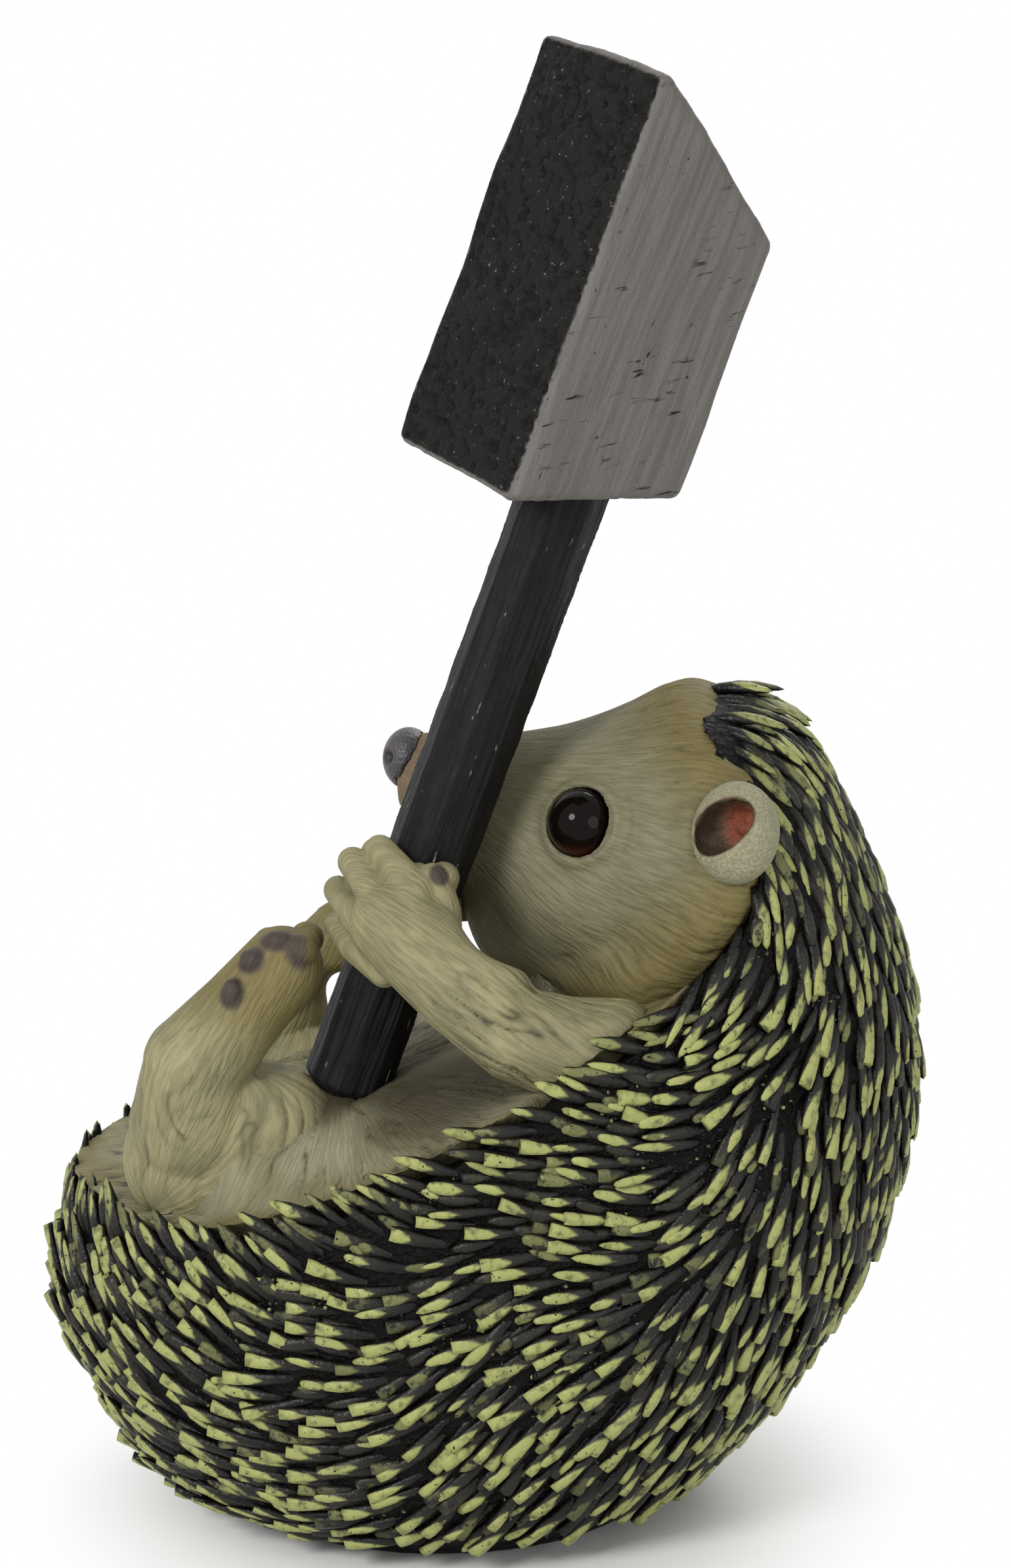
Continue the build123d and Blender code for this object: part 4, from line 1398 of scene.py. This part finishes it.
class HEDGEHOG_OT_ears(bpy.types.Operator):
    """Scooped ears with a thick rolled rim, pink inside"""
    bl_idname = "hedgehog.ears"
    bl_label = "Ears"

    def execute(self, context):
        colours = context.scene.hedgehog_colours
        paint = painted_fur("painted_resin_ear", colours, colours.fur_pale, colours.fur_pale)
        for side, word in SIDES:
            name = word + "ear"
            mesh, cup_centre, cup_axes, lump = self.scooped(side, name + "_cup")
            local = (points_of(mesh) / MM - cup_centre) @ cup_axes.T
            inside = np.linalg.norm(local / CUP_RADII, axis=1)
            lumps = rounds(local / CUP_GRAIN, CUP_SEED, 2) * smooth_step(inside, *CUP_RELIEF_REACH)
            raise_points(mesh, lumps * CUP_RELIEF * MM)
            swell(mesh, lump, *CUP_LUMP[1:])
            far = far_from(points_of(mesh), lump)
            cup_wall = smooth_step(inside, *CUP_PAINT_REACH)
            # Painted shade in the creases, laid in as the dark wash of the groove mask
            keep_mask(mesh, "groove", EAR_CREASE_SHADE * creases(mesh, *EAR_CREASES))
            keep_mask(mesh, "tan", fading(local[:, 0] * MM, *EAR_BACK_TAN))
            keep_mask(mesh, "pink", cup_wall * (CUP_PINK + fading(far, *LUMP_PINK)))
            # Painted shade inside the cup, stronger away from the lump
            keep_mask(mesh, "shade", cup_wall * (CUP_SHADE + fading(far, *LUMP_SHADE)))
            keep_vectors(mesh, "strand", local * MM)
            add_piece(name + "_cup", mesh, paint, "ears", name)
        return {"FINISHED"}

    def scooped(self, side, name):
        """Skin of one ear, with the cup's centre and axes and the place of the lump in it, in mm."""
        opening = np.array(EAR_OPENING) * (1, side, 1)
        opening /= np.linalg.norm(opening)
        forward = np.cross((0, 0, side), opening)
        forward /= np.linalg.norm(forward)
        upright = np.cross(opening, forward) * side
        axes = np.stack([opening, forward, upright])
        turn = math.radians(CUP_TURN)
        cup_axes = np.stack([opening, math.cos(turn) * forward + math.sin(turn) * upright,
                             math.cos(turn) * upright - math.sin(turn) * forward])
        centre = np.array(EAR_CENTRE) * (1, side, 1)
        cup_centre = centre + np.array(CUP_SHIFT) @ axes
        shell, cup = bmesh.new(), bmesh.new()
        add_ball(shell, centre, EAR_RADII, axes)
        add_ball(cup, cup_centre, CUP_RADII, cup_axes)
        mesh = voxel_skin(cut_with(shell, cup), name, EAR_VOXEL * MM)
        relax(mesh, 10)
        return mesh, cup_centre, cup_axes, cup_centre + np.array(CUP_LUMP[0]) @ axes


# Straight middle line of each limb, from paw to body, in mm
ARM_LINES = {LEFT: ((-9.5, -26.5, 99.0), (22.0, -33.5, 80.0)),
             RIGHT: ((-8.0, 4.0, 99.0), (22.0, 33.5, 80.0))}
LEG_LINES = {LEFT: ((-28.0, -22.5, 90.0), (-42.0, -27.0, 62.0)),
             RIGHT: ((-25.0, 22.5, 83.0), (-39.0, 27.0, 55.0))}
# Fingers of the near paw and toes of the feet: points from root to tip, radii, in mm, and the
# nail of the thumb as radii and place from the thumb's tip
FINGERS = [
    ([(-5.5, -26.6, 98.0), (-7.6, -26.6, 105.5), (-12.0, -23.0, 109.2)], (2.8, 2.7, 2.3)),
    ([(-8.2, -27.2, 96.0), (-12.6, -26.0, 103.6), (-16.2, -22.0, 107.0)], (2.8, 2.7, 2.3)),
    ([(-10.2, -27.0, 94.0), (-15.1, -25.4, 99.6), (-18.6, -21.0, 102.4)], (2.7, 2.6, 2.2)),
    ([(-10.9, -26.6, 91.5), (-15.8, -24.5, 94.6), (-19.0, -20.2, 97.0)], (2.4, 2.2, 1.9)),
]
THUMB = ([(-1.6, -26.2, 98.0), (-2.6, -26.0, 102.5), (-3.8, -25.8, 106.0)], (2.9, 2.6, 2.1))
THUMB_NAIL = (1.2, 1.4, 1.2)
NAIL_SHIFT = (1.4, -1.6, 0.8)
TOES = [
    ([(-27.6, 21.0, 88.0), (-26.2, 20.0, 93.4)], (3.2, 2.5)),
    ([(-29.5, 21.5, 89.0), (-29.0, 21.0, 94.0)], (3.2, 2.5)),
    ([(-31.5, 23.5, 86.5), (-32.0, 23.0, 90.8)], (3.2, 2.4)),
    ([(-33.5, 25.0, 84.0), (-34.6, 25.4, 87.0)], (3.2, 2.3)),
    ([(-35.5, 26.0, 82.0), (-36.6, 27.0, 85.0)], (3.0, 2.0)),
]
# Thigh of the leg, as balls with a middle and radii, in mm, how wide its outer side stays, and the
# heights over and under the first ball's middle between which that starts
THIGH = [
    ((-40.5, 25.5, 66.5), (9.6, 9.6, 9.6)), ((-41.2, 24.0, 60.5), (10.2, 8.3, 11.5)),
    ((-33.0, 22.0, 62.0), (17.0, 11.0, 14.0)),
]
THIGH_WIDTH = 0.72
THIGH_NARROWS = (10.0, -2.0)
# Heights over the same middle between which the fur turns into the belly's
BELLY_FUR_STARTS = (9.0, 1.0)
# Toe pads of the foot, with a middle and radii, in mm
PADS = [
    ((-24.1, 26.0, 93.8), (1.6, 1.7, 2.5)), ((-26.9, 25.8, 95.6), (2.3, 1.6, 1.5)),
    ((-30.8, 27.3, 92.9), (1.8, 1.5, 1.7)), ((-33.4, 29.5, 88.4), (1.4, 1.4, 2.2)),
]
# What sinks in, as middle, radii and height: the near forearm and the far thigh
LEFT_ARM_SWELLS = (((5.0, -29.0, 97.0), (9, 8, 6), -2.0), ((17.0, -34.0, 90.0), (12, 9, 6), -1.8))
RIGHT_LEG_SWELLS = (((-25.0, 24.0, 75.0), (9, 14, 7), -4.0),)
# Place of each leg from that of the left one
LEG_SHIFTS = {LEFT: (0.0, 0.0, 0.0), RIGHT: (3.0, 0.0, -7.0)}
# Share of the locks' depth that arms and legs have, and of the tan near their paws
LIMB_DEPTH = {"arm": 1.1, "leg": 0.7}
LIMB_TAN = {"arm": 0.15, "leg": 0.72}
PAW_DEPTH = 0.08
# Distances from the paw over which the fur sets in and the tan ends, and the dark wash of the
# grooves on the paw and what the fur adds to it
LIMB_FADE = (1, 4, 18)
TAN_REACH = (18, 4)
PAW_WASH = 0.12
LIMB_WASH = 0.85
LIMB_CREASES = (10, 0.6 * MM)
LIMB_CREASE_SHADE = 0.6
LIMB_HAIRS = 8
# Distance from the rim over which the shoulder comes down to the coat
SHOULDER_FALL = (1, 8, 1)
# Dark pads: margin round a pad in mm, reach in shares of its radii, and strength
PAD_MARGIN = 0.5
PAD_REACH = (1.35, 0.75)
PAD_STRENGTH = 0.85
LIMB_SWAY = 0.6
LIMB_SEED = 100
SEED_STEP = 7


def leg_place(place, side):
    """Where a place of the leg lies on one side of the body, in mm."""
    return np.array(place) * (1, side, 1) + LEG_SHIFTS[side]


class HEDGEHOG_OT_limbs(bpy.types.Operator):
    """Arms that hold the mallet and legs with their feet in the air"""
    bl_idname = "hedgehog.limbs"
    bl_label = "Arms and legs"

    def execute(self, context):
        colours = context.scene.hedgehog_colours
        sizes = context.scene.hedgehog_sizes
        paint = painted_fur("painted_resin_limb_fur", colours, colours.fur, colours.paw)
        limbs = itertools.product((("arm", ARM_LINES), ("leg", LEG_LINES)), SIDES)
        for count, ((kind, lines), (side, word)) in enumerate(limbs, 1):
            name = word + kind
            bm = node_shape(name)
            pads = self.add_fingers(bm, side) if kind == "arm" else self.add_foot(bm, side)
            mesh = voxel_skin(bm, name + "_fur", sizes.fur_voxel)
            relax(mesh, 4)
            if kind == "arm":
                self.shape_arm(mesh, side)
            else:
                self.shape_thigh(mesh, side)
            points = points_of(mesh)
            dark = np.zeros(len(points))
            for centre, radii in pads:
                far = np.linalg.norm((points / MM - centre) / (np.array(radii) + PAD_MARGIN), axis=1)
                dark = np.maximum(dark, smooth_step(far, *PAD_REACH))
            keep_mask(mesh, "pad", PAD_STRENGTH * dark)
            self.carve(sizes, mesh, kind, side, lines[side], LIMB_SEED + SEED_STEP * count)
            add_piece(name + "_fur", mesh, paint, "fur", name)
        return {"FINISHED"}

    def carve(self, sizes, mesh, kind, side, line, seed):
        """Carves the fur, which on a thigh runs on from the belly's, and keeps its masks."""
        points = points_of(mesh)
        turn, run, radius = round_axis(points, *line)
        fade = fading(run, *LIMB_FADE)
        depth = sizes.lock_depth * (PAW_DEPTH + LIMB_DEPTH[kind] * fade)
        thigh = np.zeros(len(points))
        if kind == "leg":
            over_middle = points[:, 2] / MM - leg_place(THIGH[0][0], side)[2]
            thigh = smooth_step(over_middle, *BELLY_FUR_STARTS)
        groove = carve_fur(mesh, turn, run, radius, sizes.lock_spacing, sizes.hair_spacing,
                           depth * (1 - thigh), seed, LIMB_SWAY)
        belly_turn, belly_run = belly_lanes(points)
        belly_groove = carve_fur(mesh, belly_turn, belly_run, belly_run, sizes.lock_spacing,
                                 sizes.hair_spacing, sizes.lock_depth * thigh, BELLY_SEED)
        groove += (belly_groove - groove) * thigh
        keep_mask(mesh, "groove", groove * (PAW_WASH + LIMB_WASH * fade))
        keep_mask(mesh, "tan", fading(run, LIMB_TAN[kind], *TAN_REACH))
        # Painted shade in the creases, and on the thigh round the stick's foot
        keep_mask(mesh, "shade", np.maximum(LIMB_CREASE_SHADE * creases(mesh, *LIMB_CREASES),
                                            thigh * fading(belly_run, *STICK_SHADE)))
        keep_vectors(mesh, "strand", strand_places(turn, run, LIMB_HAIRS))

    def shape_arm(self, mesh, side):
        """Brings the shoulder down to the coat's outside at its rim, and thins the near forearm."""
        if side == LEFT:
            swell_all(mesh, LEFT_ARM_SWELLS)
        points = points_of(mesh)
        share = coat_share(points)
        near = fading(rim_distance(points), *SHOULDER_FALL)
        to_middle(points, 1 - near * np.maximum(share - 1, 0) / np.maximum(share, LEAST_SHARE))
        move_points(mesh, points)

    def shape_thigh(self, mesh, side):
        """Narrows the outer side of the thigh, so that it runs into the belly inside the rim."""
        points = points_of(mesh)
        middle = leg_place(THIGH[0][0], side) * MM
        outer = np.maximum(side * (points[:, 1] - middle[1]), 0)
        low = smooth_step(points[:, 2] - middle[2], *millimetres(THIGH_NARROWS))
        points[:, 1] -= side * outer * low * (1 - THIGH_WIDTH)
        move_points(mesh, points)
        if side == RIGHT:
            swell_all(mesh, RIGHT_LEG_SWELLS)
        relax(mesh, 8)

    def add_fingers(self, bm, side):
        """Adds the near paw's fingers and thumb, and returns the places of its dark pads."""
        if side == RIGHT:
            return []
        for points, radii in FINGERS + [THUMB]:
            add_digit(bm, points, radii)
        return [(np.array(THUMB[0][-1]) + NAIL_SHIFT, THUMB_NAIL)]

    def add_foot(self, bm, side):
        """Adds the thigh, the toes and their pads, and returns the places of the dark pads."""
        for centre, radii in THIGH:
            add_ball(bm, leg_place(centre, side), radii)
        for points, radii in TOES:
            add_digit(bm, leg_place(points, side), radii)
        pads = [(leg_place(centre, side), radii) for centre, radii in PADS]
        for centre, radii in pads:
            add_ball(bm, centre, radii)
        return pads


# Grains of the stick, as size across and along in mm, seed and strength, how sharp and deep they
# are, and the size and depth of its dents
STICK_GRAINS = (((1.3, 1.3, 22), 12, 1.0), ((0.8, 0.8, 12), 13, 0.5))
GRAIN_SHARPNESS = 4
GRAIN_DEPTH = 0.07
DENT_SIZE = 4.0
DENT_DEPTH = 0.1
DENT_SEED = 14
STICK_VOXEL = 0.45
# Block: how squarely a point of its striking face looks back, and size, depth and seed of the
# face's pits, of the whole block's waviness and of the brushing on its sides
FACE_TURNS = (0.75, 0.9)
PIT_SIZE = 1.2
PIT_LEVEL = 0.1
PIT_DEPTH = 0.8
PIT_SEED = 15
# Pit depths over which the face's pits get painted shade
PIT_SHADE = (0.05, 0.4)
WAVE_SIZE = 14.0
WAVE_DEPTH = 0.35
WAVE_SEED = 19
BRUSHING_SIZE = (1.2, 1.2, 18)
BRUSHING_DEPTH = 0.1
BRUSHING_SEED = 17
BLOCK_VOXEL = 0.5


def mallet_axes():
    """Place where the stick meets the block, and the block's axes: back, across and along."""
    along = (STICK_NECK - STICK_FOOT) / np.linalg.norm(STICK_NECK - STICK_FOOT)
    right = np.cross((0, 1, 0), along)
    right /= np.linalg.norm(right)
    away = np.cross(along, right)
    turn = math.radians(BLOCK_TURN)
    back = right * math.cos(turn) + away * math.sin(turn)
    return STICK_NECK * MM, np.stack([back, np.cross(along, back), along], axis=1)


class HEDGEHOG_OT_mallet(bpy.types.Operator):
    """Mallet with a grained stick and a cast block"""
    bl_idname = "hedgehog.mallet"
    bl_label = "Mallet"

    def execute(self, context):
        colours = context.scene.hedgehog_colours
        self.stick(stick_paint(colours))
        self.block(block_paint(colours))
        return {"FINISHED"}

    def stick(self, paint):
        mesh = voxel_skin(node_shape("mallet_handle"), "mallet_stick", STICK_VOXEL * MM)
        relax(mesh, 1)
        origin, axes = mallet_axes()
        local = (points_of(mesh) - origin) @ axes
        grain = sum(strength * noise(local / (np.array(size) * MM), seed)
                    for size, seed, strength in STICK_GRAINS)
        dents = rounds(local / (DENT_SIZE * MM), DENT_SEED)
        sink = GRAIN_DEPTH * np.exp(-np.abs(grain) * GRAIN_SHARPNESS) + DENT_DEPTH * dents
        raise_points(mesh, -sink * MM)
        keep_vectors(mesh, "grain", local)
        add_piece("mallet_stick", mesh, paint, "mallet_stick", "mallet_handle")

    def block(self, paint):
        mesh = voxel_skin(node_shape("mallet_head"), "mallet_block", BLOCK_VOXEL * MM)
        relax(mesh, 2)
        origin, axes = mallet_axes()
        local = (points_of(mesh) - origin) @ axes
        face = smooth_step(-(normals_of(mesh) @ axes[:, 0]), *FACE_TURNS)
        pits = np.clip(rounds(local / (PIT_SIZE * MM), PIT_SEED, 2) - PIT_LEVEL, 0, 1)
        waves = rounds(local / (WAVE_SIZE * MM), WAVE_SEED, 2)
        brushing = noise(local / (np.array(BRUSHING_SIZE) * MM), BRUSHING_SEED)
        sink = face * pits * PIT_DEPTH + (1 - face) * brushing * BRUSHING_DEPTH + waves * WAVE_DEPTH
        raise_points(mesh, -sink * MM)
        keep_vectors(mesh, "grain", local)
        keep_mask(mesh, "face", face)
        # Painted shade in the pits of the striking face
        keep_mask(mesh, "pit", face * smooth_step(pits, *PIT_SHADE))
        add_piece("mallet_block", mesh, paint, "mallet_block", "mallet_head")


class HEDGEHOG_OT_hardware(bpy.types.Operator):
    """Materials of the hidden steel pins and of the plug in the base"""
    bl_idname = "hedgehog.hardware"
    bl_label = "Pins and plug"

    def execute(self, context):
        steel = plain_material("drawn_steel_wire", 0.6, "#8a8a8c", "#a5a5a8",
                               {"Metallic": 1.0, "Roughness": 0.35})
        rubber = plain_material("moulded_black_rubber", 1.0, "#1d1c1b", "#2b2a28",
                                {"Roughness": 0.8})
        for name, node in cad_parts.items():
            if name.endswith("_pin") or name == "base_plug":
                node.data.materials.clear()
                node.data.materials.append(rubber if name == "base_plug" else steel)
        return {"FINISHED"}


# Camera: turn and rise in degrees, and distance, target, lens and film width in mm
CAMERA_TURN = 6.0
CAMERA_RISE = 12.5
CAMERA_DISTANCE = 600.0
CAMERA_TARGET = (4.3, 0.0, 114.5)
CAMERA_LENS = 90.0
FILM_WIDTH = 36.0
# Lamps in metres and watts, as name, place, power and diameter, and the place they point at
LAMPS = (
    ("key_lamp", (-0.55, -0.85, 0.68), 8.6, 0.4), ("fill_lamp", (0.8, -0.8, 0.35), 3.4, 0.8),
    ("back_lamp", (0.3, 0.9, 0.9), 4.4, 0.6),
)
LAMP_TARGET = (0, 0, 0.1)
ROOM_LIGHT = (0.98, 1.0, 0.94)
ROOM_STRENGTH = 0.46
# Floor: half its width, and the distances from the middle over which it turns plain white, in metres
FLOOR_REACH = 3.0
SHADOW_REACH = (0.03, 0.075)
WHITE = (1, 1, 1)


class HEDGEHOG_OT_stage(bpy.types.Operator):
    """White floor, soft studio lamps and the camera"""
    bl_idname = "hedgehog.stage"
    bl_label = "Stage"

    def execute(self, context):
        context.scene.view_settings.view_transform = "Standard"
        self.floor()
        self.world(context.scene)
        self.lamps()
        self.camera(context.scene)
        return {"FINISHED"}

    def floor(self):
        """White board that keeps the object's shadow and is plain white further out."""
        bm = bmesh.new()
        bmesh.ops.create_grid(bm, x_segments=8, y_segments=8, size=FLOOR_REACH)
        mesh = mesh_of(bm, "floor")
        floor = in_scene("floor", mesh)
        material, tree, shader = new_material("matt_white_board")
        set_inputs(tree, shader, {"Base Color": rgba(linear("#f0f0ee")), "Roughness": 0.9})
        place = add_node(tree, "ShaderNodeTexCoord").outputs["Object"]
        far = add_node(tree, "ShaderNodeVectorMath", {"operation": "LENGTH"}, {0: place})
        white = add_node(tree, "ShaderNodeEmission", None, {"Color": rgba(WHITE)})
        seen = worked_out(tree, "MULTIPLY", spread(tree, far.outputs["Value"], *SHADOW_REACH),
                          seen_paths(tree))
        both = add_node(tree, "ShaderNodeMixShader", None, {
            0: seen, 1: shader.outputs[0], 2: white.outputs[0]})
        output = next(n for n in tree.nodes if n.type == "OUTPUT_MATERIAL")
        tree.links.new(both.outputs[0], output.inputs["Surface"])
        mesh.materials.append(material)

    def world(self, scene):
        """Soft light from all round, and a white background for what is seen."""
        scene.world = bpy.data.worlds.new("studio")
        scene.world.use_nodes = True
        tree = scene.world.node_tree
        tree.nodes.clear()
        room = add_node(tree, "ShaderNodeBackground", None,
                        {"Color": rgba(ROOM_LIGHT), "Strength": ROOM_STRENGTH})
        white = add_node(tree, "ShaderNodeBackground", None, {"Color": rgba(WHITE), "Strength": 1})
        both = add_node(tree, "ShaderNodeMixShader", None, {
            0: seen_paths(tree), 1: room.outputs[0], 2: white.outputs[0]})
        add_node(tree, "ShaderNodeOutputWorld", None, {"Surface": both.outputs[0]})

    def lamps(self):
        for name, place, power, size in LAMPS:
            light = bpy.data.lights.new(name, "AREA")
            light.energy = power
            light.shape = "DISK"
            light.size = size
            lamp = in_scene(name, light)
            lamp.location = place
            aim = Vector(LAMP_TARGET) - Vector(place)
            lamp.rotation_euler = aim.to_track_quat("-Z", "Y").to_euler()

    def camera(self, scene):
        turn, rise = math.radians(CAMERA_TURN), math.radians(CAMERA_RISE)
        back = Vector((math.sin(turn) * math.cos(rise), -math.cos(turn) * math.cos(rise),
                       math.sin(rise)))
        data = bpy.data.cameras.new("camera")
        data.sensor_width = FILM_WIDTH
        data.lens = CAMERA_LENS
        camera = in_scene("camera", data)
        camera.location = Vector(CAMERA_TARGET) * MM + back * CAMERA_DISTANCE * MM
        camera.rotation_mode = "QUATERNION"
        camera.rotation_quaternion = (-back).to_track_quat("-Z", "Y")
        scene.camera = camera


OPERATORS = (
    HEDGEHOG_OT_coat_skin, HEDGEHOG_OT_quills, HEDGEHOG_OT_grit, HEDGEHOG_OT_belly,
    HEDGEHOG_OT_head, HEDGEHOG_OT_eyes, HEDGEHOG_OT_nose, HEDGEHOG_OT_ears, HEDGEHOG_OT_limbs,
    HEDGEHOG_OT_mallet, HEDGEHOG_OT_hardware, HEDGEHOG_OT_stage,
)


class HEDGEHOG_PT_panel(bpy.types.Panel):
    """Sidebar panel with the sizes, the colours and a button for each group of pieces"""
    bl_idname = "HEDGEHOG_PT_panel"
    bl_label = "Hedgehog figurine"
    bl_space_type = "VIEW_3D"
    bl_region_type = "UI"
    bl_category = "Hedgehog"

    def draw(self, context):
        for group in (context.scene.hedgehog_sizes, context.scene.hedgehog_colours):
            for name in group.__annotations__:
                self.layout.prop(group, name)
        for operator in OPERATORS:
            self.layout.operator(operator.bl_idname)


CLASSES = (HedgehogSizes, HedgehogColours) + OPERATORS + (HEDGEHOG_PT_panel,)


def register():
    for item in CLASSES:
        bpy.utils.register_class(item)
    bpy.types.Scene.hedgehog_sizes = bpy.props.PointerProperty(type=HedgehogSizes)
    bpy.types.Scene.hedgehog_colours = bpy.props.PointerProperty(type=HedgehogColours)


def unregister():
    del bpy.types.Scene.hedgehog_colours
    del bpy.types.Scene.hedgehog_sizes
    for item in reversed(CLASSES):
        bpy.utils.unregister_class(item)


def main():
    register()
    for operator in OPERATORS:
        group, name = operator.bl_idname.split(".")
        getattr(getattr(bpy.ops, group), name)()


if __name__ == "__main__":
    main()
